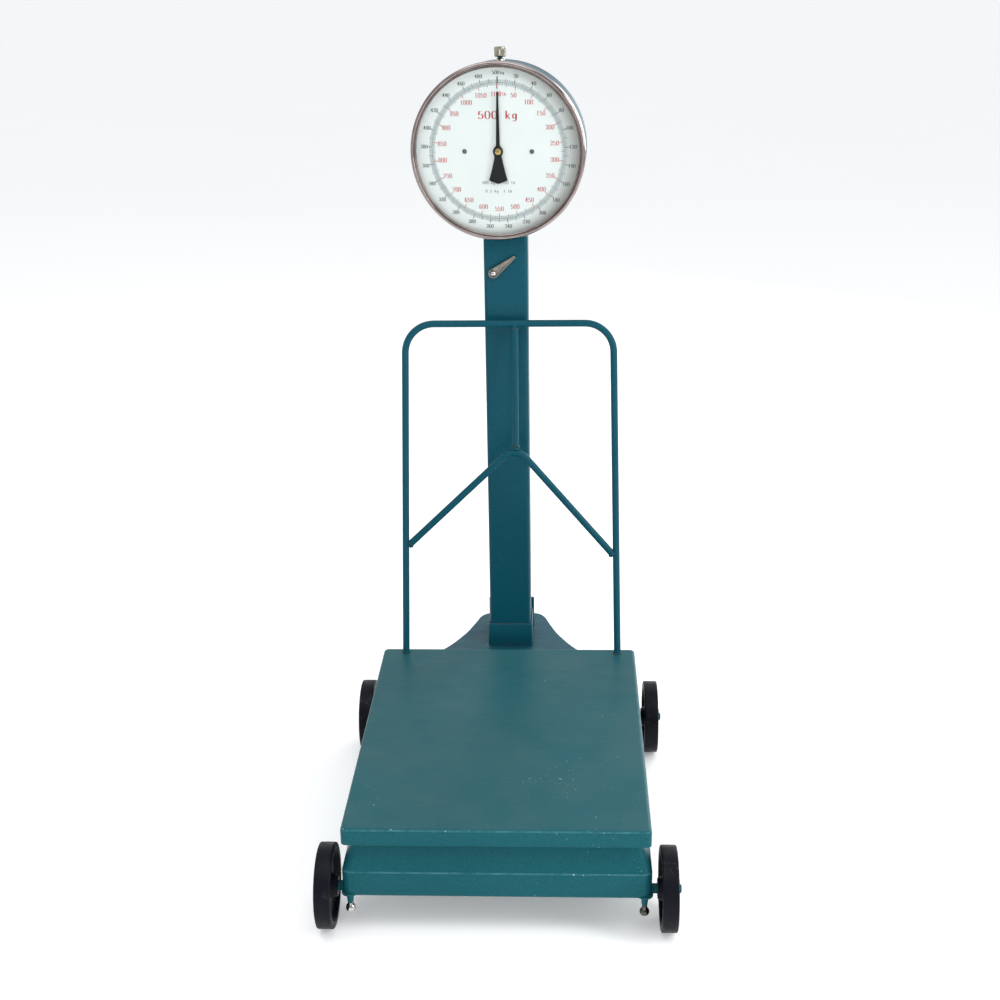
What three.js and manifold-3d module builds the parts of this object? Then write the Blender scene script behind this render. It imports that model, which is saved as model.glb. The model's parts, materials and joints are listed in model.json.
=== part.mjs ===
// Mechanical dial platform scale, 500 kg class, in millimetres, +Z up.
// The deck rests on two levers in the base. The long lever pulls a rod in the column, the rod
// stretches two springs in the head, and a rack on the rod's crosshead turns the pointer's pinion.
import * as THREE from 'three';
import { mergeVertices } from 'three/addons/utils/BufferGeometryUtils.js';
import Module from 'manifold-3d';

// ---- driving dimensions ----
const GAP = 0.3; // between pieces that touch

const DECK_HALF_X = 225;
const DECK_HALF_Y = 300;
const DECK_TOP = 181;
const DECK_LIP_BOTTOM = 154;
const DECK_SKIN = 4;

const BASE_HALF_X = 227.5;
const BASE_HALF_Y = 293;
const BASE_BOTTOM = 63;
const BASE_CREASE = 103;
const BASE_TOP = 148;
const BASE_SLOPE_INSET = 16.5;
const BASE_WALL = 4;
const CROSS_MEMBER_TOP = 75;

const WHEEL_RADIUS = 63.5;
const WHEEL_WIDTH = 24;
const WHEEL_FACETS = 28;
const WHEEL_OUTER_X = 265;
const AXLE_RADIUS = 7.5;
const AXLE_Y = 266;
const AXLE_HALF_LENGTH = 272;
const COTTER_X = 268.5;

const FOOT_X = 217;
const FOOT_Y = 283;
const FOOT_BOTTOM = 29.5;

const COLUMN_WIDTH = 74.8;
const COLUMN_DEPTH = 75;
const COLUMN_FRONT_Y = 385;
const COLUMN_WALL = 3;
const COLUMN_TOP = 925;
const COLUMN_Y = COLUMN_FRONT_Y + COLUMN_DEPTH / 2;
const NECK_BACK_Y = 533;
const NECK_BOTTOM = 66;
const SOCKET_TOP = 191;
const SOCKET_REAR_TOP = 209;

const RAIL_X = 5;
const RAIL_FOOT_Y = 284;
const RAIL_FOOT_HALF = 189;
const RAIL_TOP_HEIGHT = 581.5; // above the deck
const RAIL_NARROWING = 0.0183; // per unit of height, each side
const RAIL_LEAN = 0.1465; // backwards, per unit of height
const RAIL_RADIUS = 6;
const RAIL_CORNER = 50;
const BRACE_LEFT_HEIGHT = 190;
const BRACE_RIGHT_HEIGHT = 172;
const BRACE_APEX_HEIGHT = 363;
const BRACE_APEX_ACROSS = 9.5; // right of the hoop's middle

const PIVOT_Z = 136; // fulcrum and load knife edges
const FULCRUM_Y = 240;
const LOAD_ARM = 25;
const ARM_BOTTOM = 108;
const ARM_TOP = 128;
const ARM_HALF = 6;
const KNIFE_HALF = 6; // half diagonal of a pivot's square bar

const HEAD_TURN = THREE.MathUtils.degToRad(4.8); // the head faces a little to the left
const HEAD_X = -6; // dial centre, from the column's axis, in the head's own frame
const DIAL_Z = 1051;
const BEZEL_RADIUS = 145.4;
const BEZEL_OPENING = 137;
const BEZEL_FRONT = -58; // depths in the head run from the column's axis, + to the rear
const BEZEL_DEPTH = 16.5; // ends in front of the column
const DRUM_RADIUS = 141.5;
const DRUM_BACK = 42;
const DRUM_WALL = 2;
const DIAL_FRONT = -44;
const DIAL_SCREW_X = 56;

const PINION_TEETH = 10;
const TOOTH_MODULE = 0.8;
const PITCH_RADIUS = (PINION_TEETH * TOOTH_MODULE) / 2;
const RACK_DEPTH = -26; // middle of the rack and the pinion, front to back
const CROSSHEAD_Z = 1000;
const HANGER_Z = 1152;
const SPRING_X = 46;

const LOCK_X = -21;
const LOCK_Z = 847;
const LOCK_ARM = 44;
const LOCK_ANGLE = THREE.MathUtils.degToRad(37.6);

const CENTRE_Y = (NECK_BACK_Y - AXLE_Y - WHEEL_RADIUS) / 2; // middle of the whole length

// ---- materials ----
function material(colour, roughness, metalness) {
  return new THREE.MeshStandardMaterial({ color: colour, roughness, metalness });
}
const ENAMEL = material('#2f6470', 0.45, 0.1);
const CAST_IRON = material('#26272b', 0.7, 0.3);
const CHROME = material('#c9ccd0', 0.12, 1.0);
const NICKEL = material('#a8a494', 0.3, 0.9);
const STEEL = material('#8a8c8e', 0.4, 0.9);
const BRASS = material('#b08d4a', 0.35, 0.9);
const BLACK = material('#141416', 0.5, 0.2);
const DIAL_WHITE = material('#c8d0d0', 0.6, 0.0);
const GLASS = material('#dfe8ea', 0.05, 0.0);
GLASS.transparent = true;
GLASS.opacity = 0.3;

// ---- solids ----
const wasm = await Module();
wasm.setup();

function signedVolume(points, triangles) {
  let six = 0;
  for (let i = 0; i < triangles.length; i += 3) {
    const a = new THREE.Vector3().fromArray(points, 3 * triangles[i]);
    const b = new THREE.Vector3().fromArray(points, 3 * triangles[i + 1]);
    const c = new THREE.Vector3().fromArray(points, 3 * triangles[i + 2]);
    six += a.dot(b.cross(c));
  }
  return six;
}

// A geometry as one solid: shared vertices merged, empty triangles dropped, faces outward.
function solid(geometry) {
  const bare = new THREE.BufferGeometry();
  bare.setAttribute('position', geometry.getAttribute('position').clone());
  if (geometry.index) bare.setIndex(geometry.index.clone());
  const merged = mergeVertices(bare, 1e-4);
  const points = merged.getAttribute('position').array;
  const triangles = [];
  for (let i = 0; i < merged.index.count; i += 3) {
    const [a, b, c] = [0, 1, 2].map((k) => merged.index.getX(i + k));
    if (a !== b && b !== c && c !== a) triangles.push(a, b, c);
  }
  if (signedVolume(points, triangles) < 0) triangles.reverse();
  const mesh = new wasm.Mesh({
    numProp: 3,
    vertProperties: new Float32Array(points),
    triVerts: new Uint32Array(triangles),
  });
  return new wasm.Manifold(mesh);
}

function geometryOf(manifold) {
  const mesh = manifold.getMesh();
  const geometry = new THREE.BufferGeometry();
  geometry.setAttribute('position', new THREE.BufferAttribute(mesh.vertProperties, 3));
  geometry.setIndex(new THREE.BufferAttribute(mesh.triVerts, 1));
  return geometry;
}

function join(...geometries) {
  const solids = geometries.map(solid);
  return geometryOf(solids.reduce((whole, piece) => whole.add(piece)));
}

function cut(geometry, ...tools) {
  return geometryOf(tools.map(solid).reduce((rest, tool) => rest.subtract(tool), solid(geometry)));
}

function box([x0, x1], [y0, y1], [z0, z1]) {
  const geometry = new THREE.BoxGeometry(x1 - x0, y1 - y0, z1 - z0);
  return geometry.translate((x0 + x1) / 2, (y0 + y1) / 2, (z0 + z1) / 2);
}

// A round bar along one axis, from start to end, centred on the other two coordinates.
function rod(axis, radius, start, end, [u, v] = [0, 0], sides = 16) {
  const geometry = new THREE.CylinderGeometry(radius, radius, end - start, sides);
  geometry.translate(0, (start + end) / 2, 0);
  if (axis === 'x') return geometry.rotateZ(-Math.PI / 2).translate(0, u, v);
  if (axis === 'y') return geometry.translate(u, 0, v);
  return geometry.rotateX(Math.PI / 2).translate(u, v, 0);
}

// A turned piece about the Y axis. The profile is [radius, y] pairs.
function turned(profile, sides) {
  return new THREE.LatheGeometry(profile.map(([r, y]) => new THREE.Vector2(r, y)), sides);
}

// A turned piece that stands upright. The profile is [radius, z] pairs.
function turnedUpright(profile, sides) {
  return turned(profile, sides).rotateX(Math.PI / 2);
}

// An outline in the Y-Z plane, [y, z] pairs, extruded along X.
function plateAcross(points, [x0, x1]) {
  const shape = new THREE.Shape(points.map(([y, z]) => new THREE.Vector2(y, z)));
  const geometry = new THREE.ExtrudeGeometry(shape, { depth: x1 - x0, bevelEnabled: false });
  const turn = new THREE.Matrix4().set(0, 0, 1, x0, 1, 0, 0, 0, 0, 1, 0, 0, 0, 0, 0, 1);
  return geometry.applyMatrix4(turn);
}

// An outline in the X-Z plane, [x, z] pairs, extruded along Y.
function plateUpright(points, [y0, y1]) {
  const shape = new THREE.Shape(points.map(([x, z]) => new THREE.Vector2(x, z)));
  const geometry = new THREE.ExtrudeGeometry(shape, { depth: y1 - y0, bevelEnabled: false });
  return geometry.rotateX(Math.PI / 2).translate(0, y1, 0);
}

function slab(points, [z0, z1]) {
  const shape = new THREE.Shape(points);
  const geometry = new THREE.ExtrudeGeometry(shape, { depth: z1 - z0, bevelEnabled: false });
  return geometry.translate(0, 0, z0);
}

const CORNER_STEPS = 4;

function roundedRectangle(halfX, halfY, radius) {
  const points = [];
  const corners = [[1, 1], [-1, 1], [-1, -1], [1, -1]];
  corners.forEach(([sx, sy], quarter) => {
    for (let i = 0; i <= CORNER_STEPS; i += 1) {
      const angle = (Math.PI / 2) * (quarter + i / CORNER_STEPS);
      const x = sx * (halfX - radius) + radius * Math.cos(angle);
      const y = sy * (halfY - radius) + radius * Math.sin(angle);
      points.push(new THREE.Vector2(x, y));
    }
  });
  return points;
}

// A closed stack of outlines with the same number of points: [z, points] pairs, upwards.
function stack(levels) {
  const count = levels[0][1].length;
  const positions = levels.flatMap(([z, points]) => points.flatMap((p) => [p.x, p.y, z]));
  const triangles = [];
  for (let level = 0; level + 1 < levels.length; level += 1) {
    for (let i = 0; i < count; i += 1) {
      const a = level * count + i;
      const b = level * count + ((i + 1) % count);
      triangles.push(a, b, b + count, a, b + count, a + count);
    }
  }
  const last = (levels.length - 1) * count;
  for (const [a, b, c] of THREE.ShapeUtils.triangulateShape(levels[0][1], [])) {
    triangles.push(a, c, b);
  }
  for (const [a, b, c] of THREE.ShapeUtils.triangulateShape(levels.at(-1)[1], [])) {
    triangles.push(last + a, last + b, last + c);
  }
  const geometry = new THREE.BufferGeometry();
  geometry.setAttribute('position', new THREE.Float32BufferAttribute(positions, 3));
  geometry.setIndex(triangles);
  return geometry;
}

// A bent round bar through given points, one ring of the section at each point.
class BentBar extends THREE.Curve {
  constructor(points) {
    super();
    this.points = points;
  }

  getPointAt(u) {
    const place = u * (this.points.length - 1);
    const i = Math.min(Math.floor(place + 1e-6), this.points.length - 2);
    return this.points[i].clone().lerp(this.points[i + 1], place - i);
  }

  getTangentAt(u) {
    const i = Math.round(u * (this.points.length - 1));
    const before = this.points[Math.max(i - 1, 0)];
    const here = this.points[i];
    const after = this.points[Math.min(i + 1, this.points.length - 1)];
    const arriving = here.clone().sub(before).normalize();
    const leaving = after.clone().sub(here).normalize();
    return arriving.add(leaving).normalize();
  }
}

function bentBar(points, radius, sides = 8) {
  const circle = new THREE.Shape().absarc(0, 0, radius, 0, 2 * Math.PI);
  const section = new THREE.Shape(circle.getSpacedPoints(sides).slice(0, sides));
  const options = { extrudePath: new BentBar(points), steps: points.length - 1, bevelEnabled: false };
  return new THREE.ExtrudeGeometry(section, options);
}

// ---- the scene ----
const scale = new THREE.Group();
scale.position.y = -CENTRE_Y;
const head = new THREE.Group();
head.position.y = COLUMN_Y;
head.rotation.z = -HEAD_TURN;
scale.add(head);

function place(parent, name, geometry, finish, position = [0, 0, 0]) {
  const mesh = new THREE.Mesh(geometryOf(solid(geometry)), finish);
  mesh.name = name;
  mesh.position.set(...position);
  parent.add(mesh);
}

const CORNERS = [
  ['front_left', -1, -1],
  ['front_right', 1, -1],
  ['rear_left', -1, 1],
  ['rear_right', 1, 1],
];

// ---- base ----
function ring(inset, radius) {
  return roundedRectangle(BASE_HALF_X - inset, BASE_HALF_Y - inset, radius);
}

function baseFrame() {
  const outside = stack([
    [BASE_BOTTOM, ring(1.5, 12)],
    [BASE_BOTTOM + 3, ring(0, 14)],
    [BASE_CREASE - 2, ring(0, 14)],
    [BASE_CREASE + 4, ring(1.5, 14)],
    [BASE_TOP, ring(BASE_SLOPE_INSET, 12)],
  ]);
  const inside = stack([
    [BASE_BOTTOM - 5, ring(BASE_WALL, 10)],
    [BASE_CREASE, ring(BASE_WALL, 10)],
    [BASE_TOP + 0.5, ring(BASE_WALL + BASE_SLOPE_INSET, 8)],
  ]);
  const shell = cut(outside, inside);
  const wallX = BASE_HALF_X - 3;
  const members = [-1, 1].map((sy) => {
    const [y0, y1] = sy < 0 ? [-256, -222] : [222, 256];
    return box([-wallX, wallX], [y0, y1], [BASE_BOTTOM, CROSS_MEMBER_TOP]);
  });
  const pads = [];
  const holes = [box([-14, 14], [BASE_HALF_Y - 24, BASE_HALF_Y + 5], [78, 134])];
  for (const [, sx, sy] of CORNERS) {
    const x = [sx * 209, sx * wallX].sort((a, b) => a - b);
    const y = [sy * (AXLE_Y - 12), sy * (AXLE_Y + 12)].sort((a, b) => a - b);
    pads.push(box(x, y, [52, 86]));
    const padX = [sx * (FOOT_X - 14), sx * (FOOT_X + 7.5)].sort((a, b) => a - b);
    const padY = [sy * (FOOT_Y - 14), sy * (FOOT_Y + 7.5)].sort((a, b) => a - b);
    pads.push(box(padX, padY, [BASE_BOTTOM, BASE_BOTTOM + 6]));
    const boss = turnedUpright([[0, 46.5], [3.9, 46.5], [6.2, 60], [6.2, 64], [0, 64]], 12);
    pads.push(boss.translate(sx * FOOT_X, sy * FOOT_Y, 0));
    holes.push(rod('z', 2.8, 40, 75, [sx * FOOT_X, sy * FOOT_Y], 12));
  }
  for (const sy of [-1, 1]) {
    const reach = BASE_HALF_X + 5;
    holes.push(rod('x', AXLE_RADIUS + GAP, -reach, reach, [sy * AXLE_Y, WHEEL_RADIUS], 20));
  }
  return cut(join(shell, ...members, ...pads), ...holes);
}

// Half of the neck's bell outline, from the base to the rear end.
const BELL = new THREE.SplineCurve([
  new THREE.Vector2(204, BASE_HALF_Y + GAP),
  new THREE.Vector2(163, 331),
  new THREE.Vector2(123, 369),
  new THREE.Vector2(90, 430),
  new THREE.Vector2(72, 481),
  new THREE.Vector2(61, 515),
  new THREE.Vector2(43, 530),
  new THREE.Vector2(0, NECK_BACK_Y),
]);

function bellOutline(inset) {
  const steps = 20;
  const half = [];
  for (let i = 0; i <= steps; i += 1) {
    const point = BELL.getPoint(i / steps);
    const tangent = BELL.getTangent(i / steps);
    half.push(new THREE.Vector2(point.x + tangent.y * -inset, point.y + tangent.x * inset));
  }
  half[0].y = BASE_HALF_Y + GAP + inset;
  half[steps].set(0, NECK_BACK_Y - inset);
  const mirrored = half.slice(0, steps).reverse().map((p) => new THREE.Vector2(-p.x, p.y));
  return [...half, ...mirrored];
}

function neck() {
  const outer = slab(bellOutline(0), [NECK_BOTTOM, BASE_TOP]);
  const hollow = slab(bellOutline(5), [NECK_BOTTOM - 5, BASE_TOP - 6]);
  const leverSlot = box([-14, 14], [BASE_HALF_Y - 1, BASE_HALF_Y + 12], [78, 134]);
  const rodHole = box([-24, 24], [COLUMN_Y - 18, COLUMN_Y + 18], [BASE_TOP - 10, BASE_TOP + 1]);
  return cut(outer, hollow, leverSlot, rodHole);
}

function columnSocket() {
  const halfX = COLUMN_WIDTH / 2;
  const backY = COLUMN_FRONT_Y + COLUMN_DEPTH;
  const floor = BASE_TOP + GAP;
  const sleeve = box([-halfX - 3, halfX + 3], [COLUMN_FRONT_Y - 5, backY + 4], [floor, SOCKET_TOP]);
  const rear = box([-halfX - 5, halfX + 5], [backY + 3, backY + 9], [floor, SOCKET_REAR_TOP]);
  const bore = box(
    [-halfX - GAP, halfX + GAP],
    [COLUMN_FRONT_Y - GAP, backY + GAP],
    [floor - 1, SOCKET_REAR_TOP + 1],
  );
  return cut(join(sleeve, rear), bore);
}

function column() {
  const halfX = COLUMN_WIDTH / 2;
  const halfY = COLUMN_DEPTH / 2;
  const outline = (inset, radius) => roundedRectangle(halfX - inset, halfY - inset, radius);
  const outer = slab(outline(0, 7), [BASE_TOP + GAP, COLUMN_TOP]);
  const inner = slab(outline(COLUMN_WALL, 4), [BASE_TOP - 1, COLUMN_TOP + 1]);
  const spindleHole = rod('y', 5.3, -halfY - 1, 0, [LOCK_X, LOCK_Z], 12);
  return cut(outer, inner, spindleHole).translate(0, COLUMN_Y, 0);
}

place(scale, 'base_frame', baseFrame(), ENAMEL);
place(scale, 'neck', neck(), ENAMEL);
place(scale, 'column_socket', columnSocket(), ENAMEL);
place(scale, 'column', column(), ENAMEL);

// ---- axles, wheels and feet ----
function axle() {
  const bar = rod('x', AXLE_RADIUS, -AXLE_HALF_LENGTH, AXLE_HALF_LENGTH, [0, 0], 20);
  const pinHoles = [-1, 1].map((side) => rod('z', 1.9, -10, 10, [side * COTTER_X, 0], 8));
  return cut(bar, ...pinHoles);
}

// The flat-sided tread touches the floor on a whole facet.
function wheel(side) {
  const outer = WHEEL_RADIUS / Math.cos(Math.PI / WHEEL_FACETS);
  const bore = (AXLE_RADIUS + GAP) / Math.cos(Math.PI / WHEEL_FACETS);
  const half = WHEEL_WIDTH / 2;
  const profile = [
    [bore, half],
    [17, half],
    [17, 4],
    [51, 4],
    [53, half],
    [outer - 1.5, half],
    [outer, half - 1.5],
    [outer, -half + 1.5],
    [outer - 1.5, -half],
    [53, -half],
    [51, -4],
    [17, -4],
    [15.5, -half - 4.5],
    [bore, -half - 4.5],
    [bore, half],
  ];
  const geometry = turned(profile, WHEEL_FACETS).rotateZ(-Math.PI / 2);
  geometry.rotateX(Math.PI / WHEEL_FACETS);
  return side > 0 ? geometry : geometry.rotateZ(Math.PI);
}

function cotterPin() {
  const profile = [[0, -15], [1.5, -15], [1.5, 8.4], [3, 9.6], [3, 12], [1.8, 14], [0, 14]];
  return turnedUpright(profile, 8);
}

function foot() {
  const profile = [
    [0, 0],
    [4.6, 0.4],
    [7.2, 4],
    [7.5, 7.5],
    [7.2, 11],
    [4.6, 14.4],
    [3.4, 15],
    [3.4, 16.5],
    [2.5, 16.5],
    [2.5, 51],
    [0, 51],
  ];
  return turnedUpright(profile, 12);
}

place(scale, 'front_axle', axle(), ENAMEL, [0, -AXLE_Y, WHEEL_RADIUS]);
place(scale, 'rear_axle', axle(), ENAMEL, [0, AXLE_Y, WHEEL_RADIUS]);
for (const [corner, sx, sy] of CORNERS) {
  const middle = sx * (WHEEL_OUTER_X - WHEEL_WIDTH / 2);
  place(scale, `wheel_${corner}`, wheel(sx), CAST_IRON, [middle, sy * AXLE_Y, WHEEL_RADIUS]);
  const pinPlace = [sx * COTTER_X, sy * AXLE_Y, WHEEL_RADIUS];
  place(scale, `cotter_pin_${corner}`, cotterPin(), STEEL, pinPlace);
  place(scale, `foot_${corner}`, foot(), CHROME, [sx * FOOT_X, sy * FOOT_Y, FOOT_BOTTOM]);
}

// ---- levers ----
// A pivot is a square bar that stands on one edge.
function pivotBar(halfLength) {
  const diamond = [[-KNIFE_HALF, 0], [0, -KNIFE_HALF], [KNIFE_HALF, 0], [0, KNIFE_HALF]];
  return plateAcross(diamond, [-halfLength, halfLength]);
}

function pivotHole(y) {
  const half = KNIFE_HALF + 1.5 * GAP;
  const diamond = [[y - half, PIVOT_Z], [y, PIVOT_Z - half], [y + half, PIVOT_Z], [y, PIVOT_Z + half]];
  return plateAcross(diamond, [-200, 200]);
}

const CHEEK_X = [150, 158];

function cheeks([y0, y1], [z0, z1]) {
  return [-1, 1].map((side) => box(CHEEK_X.map((x) => side * x).sort((a, b) => a - b), [y0, y1], [z0, z1]));
}

function longLever() {
  const frontY = -FULCRUM_Y - 11;
  const backY = -FULCRUM_Y + LOAD_ARM + 11;
  const middleY = -FULCRUM_Y + LOAD_ARM / 2;
  const [, outerX] = CHEEK_X;
  const tie = box([-outerX, outerX], [middleY - 7, middleY + 7], [147, 161]);
  const web = box([-ARM_HALF, ARM_HALF], [frontY, backY], [ARM_BOTTOM, 161]);
  const arm = box([-ARM_HALF, ARM_HALF], [frontY, COLUMN_Y + 8], [ARM_BOTTOM, ARM_TOP]);
  const body = join(tie, web, arm, ...cheeks([frontY, backY], [124, 161]));
  return cut(body, pivotHole(-FULCRUM_Y), pivotHole(-FULCRUM_Y + LOAD_ARM));
}

const FORK_X = [14, 22];
const FORK_Z = [145, 159];

function shortLever() {
  const frontY = FULCRUM_Y - LOAD_ARM - 11;
  const backY = FULCRUM_Y + 11;
  const middleY = FULCRUM_Y - LOAD_ARM / 2;
  const [, outerX] = CHEEK_X;
  const [, forkX] = FORK_X;
  const tie = box([-outerX, outerX], [middleY - 7, middleY + 7], [146, 161]);
  const nose = box([-forkX, forkX], [-6, 6], FORK_Z);
  const prongs = [-1, 1].map((side) => {
    const x = FORK_X.map((value) => side * value).sort((a, b) => a - b);
    return box(x, [-6, middleY], FORK_Z);
  });
  const body = join(tie, nose, ...prongs, ...cheeks([frontY, backY], [124, 161]));
  return cut(body, pivotHole(FULCRUM_Y), pivotHole(FULCRUM_Y - LOAD_ARM));
}

function nosePivot() {
  return plateAcross([[-4, 5.7], [0, 0], [4, 5.7]], [-12, 12]);
}

function transferLink() {
  const [z0, z1] = [ARM_TOP + 0.5, FORK_Z[0] - 0.5];
  return plateAcross([[-5, z0], [5, z0], [5, z0 + 3], [3, z0 + 8], [5, z1 - 3], [5, z1], [-5, z1],
    [-5, z1 - 3], [-3, z0 + 8], [-5, z0 + 3]], [-11, 11]);
}

// A stand holds a fulcrum pivot's lower edge in a V, on the base's cross member.
function fulcrumStand() {
  const foot = CROSS_MEMBER_TOP + GAP - PIVOT_Z;
  const valley = -KNIFE_HALF - 2 * GAP;
  return plateAcross([[-15, foot], [15, foot], [13, 2], [10, 2], [0, valley], [-10, 2], [-13, 2]], [-8, 8]);
}

// A deck bearing sits on a load pivot's upper edge.
function deckBearing() {
  const top = DECK_TOP - DECK_SKIN - GAP - PIVOT_Z;
  const peak = KNIFE_HALF + 2 * GAP;
  return plateAcross([[-13, -2], [-10, -2], [0, peak], [10, -2], [13, -2], [13, top], [-13, top]], [-7, 7]);
}

place(scale, 'long_lever', longLever(), CAST_IRON);
place(scale, 'long_fulcrum_pivot', pivotBar(182), STEEL, [0, -FULCRUM_Y, PIVOT_Z]);
place(scale, 'long_load_pivot', pivotBar(202), STEEL, [0, -FULCRUM_Y + LOAD_ARM, PIVOT_Z]);
place(scale, 'long_nose_pivot', nosePivot(), STEEL, [0, COLUMN_Y, ARM_BOTTOM - GAP - 5.7]);
place(scale, 'short_lever', shortLever(), CAST_IRON);
place(scale, 'short_fulcrum_pivot', pivotBar(182), STEEL, [0, FULCRUM_Y, PIVOT_Z]);
place(scale, 'short_load_pivot', pivotBar(202), STEEL, [0, FULCRUM_Y - LOAD_ARM, PIVOT_Z]);
place(scale, 'transfer_link', transferLink(), STEEL);
for (const [corner, sx, sy] of CORNERS) {
  place(scale, `fulcrum_stand_${corner}`, fulcrumStand(), CAST_IRON, [sx * 172, sy * FULCRUM_Y, PIVOT_Z]);
  const loadY = sy * (FULCRUM_Y - LOAD_ARM);
  place(scale, `deck_bearing_${corner}`, deckBearing(), STEEL, [sx * 193, loadY, PIVOT_Z]);
}

// ---- deck and guard rail ----
function deck() {
  const level = (z, inset, radius) => [
    z,
    roundedRectangle(DECK_HALF_X - inset, DECK_HALF_Y - inset, radius),
  ];
  const outside = stack([
    level(DECK_LIP_BOTTOM, 0, 10),
    level(DECK_TOP - 4.5, 0, 10),
    level(DECK_TOP - 1.3, 1.3, 9),
    level(DECK_TOP, 4.5, 7),
  ]);
  const inside = stack([
    level(DECK_LIP_BOTTOM - 5, DECK_SKIN, 6),
    level(DECK_TOP - DECK_SKIN, DECK_SKIN, 6),
  ]);
  return cut(outside, inside);
}

// A place in the rail's leaning plane: across from the rail's middle, and height above the deck.
function onRail(across, height) {
  return new THREE.Vector3(RAIL_X + across, RAIL_FOOT_Y + RAIL_LEAN * height, DECK_TOP + height);
}

function railHalf(height) {
  return RAIL_FOOT_HALF - RAIL_NARROWING * height;
}

// A round bend of a given radius at a corner of a path in the rail's plane.
function bend(before, corner, after, radius, steps) {
  const to = (from, target) => new THREE.Vector2().subVectors(target, from).normalize();
  const inward = to(corner, before);
  const outward = to(corner, after);
  const halfAngle = Math.acos(inward.dot(outward)) / 2;
  const start = corner.clone().addScaledVector(inward, radius / Math.tan(halfAngle));
  const end = corner.clone().addScaledVector(outward, radius / Math.tan(halfAngle));
  const bisector = inward.clone().add(outward).normalize();
  const centre = corner.clone().addScaledVector(bisector, radius / Math.sin(halfAngle));
  const from = start.clone().sub(centre).angle();
  const turn = end.clone().sub(centre).angle() - from;
  const sweep = Math.atan2(Math.sin(turn), Math.cos(turn));
  const points = [];
  for (let i = 0; i <= steps; i += 1) {
    const angle = from + (sweep * i) / steps;
    points.push(new THREE.Vector2(Math.cos(angle), Math.sin(angle)).multiplyScalar(radius).add(centre));
  }
  return points;
}

function railHoop() {
  const low = 1.3;
  const top = RAIL_TOP_HEIGHT;
  const corners = [[-1, low], [-1, top], [1, top], [1, low]].map(
    ([side, height]) => new THREE.Vector2(side * railHalf(height), height),
  );
  const [leftFoot, leftTop, rightTop, rightFoot] = corners;
  const flat = [
    leftFoot,
    ...bend(leftFoot, leftTop, rightTop, RAIL_CORNER, 6),
    ...bend(leftTop, rightTop, rightFoot, RAIL_CORNER, 6),
    rightFoot,
  ];
  return bentBar(flat.map((p) => onRail(p.x, p.y)), RAIL_RADIUS);
}

// One end of the brace: square cut, and short of the hoop it is welded to.
function braceEnd(side, low, apex) {
  const clear = 2 * RAIL_RADIUS - 1.4;
  const end = new THREE.Vector2(side * railHalf(low), low);
  const run = Math.abs(apex.x - end.x);
  return end.lerp(apex, clear / run);
}

function railBrace() {
  const apex = new THREE.Vector2(BRACE_APEX_ACROSS, BRACE_APEX_HEIGHT + 8);
  const left = braceEnd(-1, BRACE_LEFT_HEIGHT, apex);
  const right = braceEnd(1, BRACE_RIGHT_HEIGHT, apex);
  const flat = [left, ...bend(left, apex, right, 28, 6), right];
  return bentBar(flat.map((p) => onRail(p.x, p.y)), RAIL_RADIUS);
}

function railStrut() {
  const low = onRail(BRACE_APEX_ACROSS, BRACE_APEX_HEIGHT + RAIL_RADIUS + 1.2);
  const high = onRail(BRACE_APEX_ACROSS, RAIL_TOP_HEIGHT - RAIL_RADIUS - 0.5);
  return bentBar([low, high], RAIL_RADIUS);
}

place(scale, 'deck', deck(), ENAMEL);
place(scale, 'rail_hoop', railHoop(), ENAMEL);
place(scale, 'rail_brace', railBrace(), ENAMEL);
place(scale, 'rail_strut', railStrut(), ENAMEL);

// ---- pull rod, crosshead and springs ----
function pullRod() {
  const [y0, y1] = [COLUMN_Y - 6, COLUMN_Y + 6];
  const bar = box([-4, 4], [COLUMN_Y - 4, COLUMN_Y + 4], [140, CROSSHEAD_Z - GAP]);
  const stirrup = box([-18, 18], [y0, y1], [92, 146]);
  const windowFloor = ARM_BOTTOM - GAP - 5.7 - 0.4;
  const opening = box([-13, 13], [y0 - 1, y1 + 1], [windowFloor, 136]);
  return join(bar, cut(stirrup, opening));
}

function crosshead() {
  const bar = box([HEAD_X - 54, HEAD_X + 54], [-7, 7], [CROSSHEAD_Z, CROSSHEAD_Z + 8]);
  const arm = box([HEAD_X, HEAD_X + 16], [RACK_DEPTH - 6, 0], [CROSSHEAD_Z, CROSSHEAD_Z + 8]);
  return join(bar, arm);
}

function spring() {
  return rod('z', 6, CROSSHEAD_Z + 8.5, HANGER_Z - 0.5, [0, 0], 12);
}

function springHanger() {
  const bar = box([-54, 54], [-7, 7], [HANGER_Z, HANGER_Z + 8]);
  return cut(bar, rod('z', 3.3, HANGER_Z - 1, HANGER_Z + 9, [0, 0], 12));
}

place(scale, 'pull_rod', pullRod(), STEEL);
place(head, 'crosshead', crosshead(), STEEL);
place(head, 'spring_left', spring(), STEEL, [HEAD_X - SPRING_X, 0, 0]);
place(head, 'spring_right', spring(), STEEL, [HEAD_X + SPRING_X, 0, 0]);
place(head, 'spring_hanger', springHanger(), STEEL, [HEAD_X, 0, 0]);

// ---- rack and pinion ----
const PRESSURE_ANGLE = THREE.MathUtils.degToRad(20);
const BACKLASH = 0.12; // taken off each flank
const PINION_ADDENDUM = 0.7;
const RACK_ADDENDUM = 0.42; // short, so that ten teeth need no undercut
const CIRCULAR_PITCH = Math.PI * TOOTH_MODULE;

function involute(angle) {
  return Math.tan(angle) - angle;
}

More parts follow.
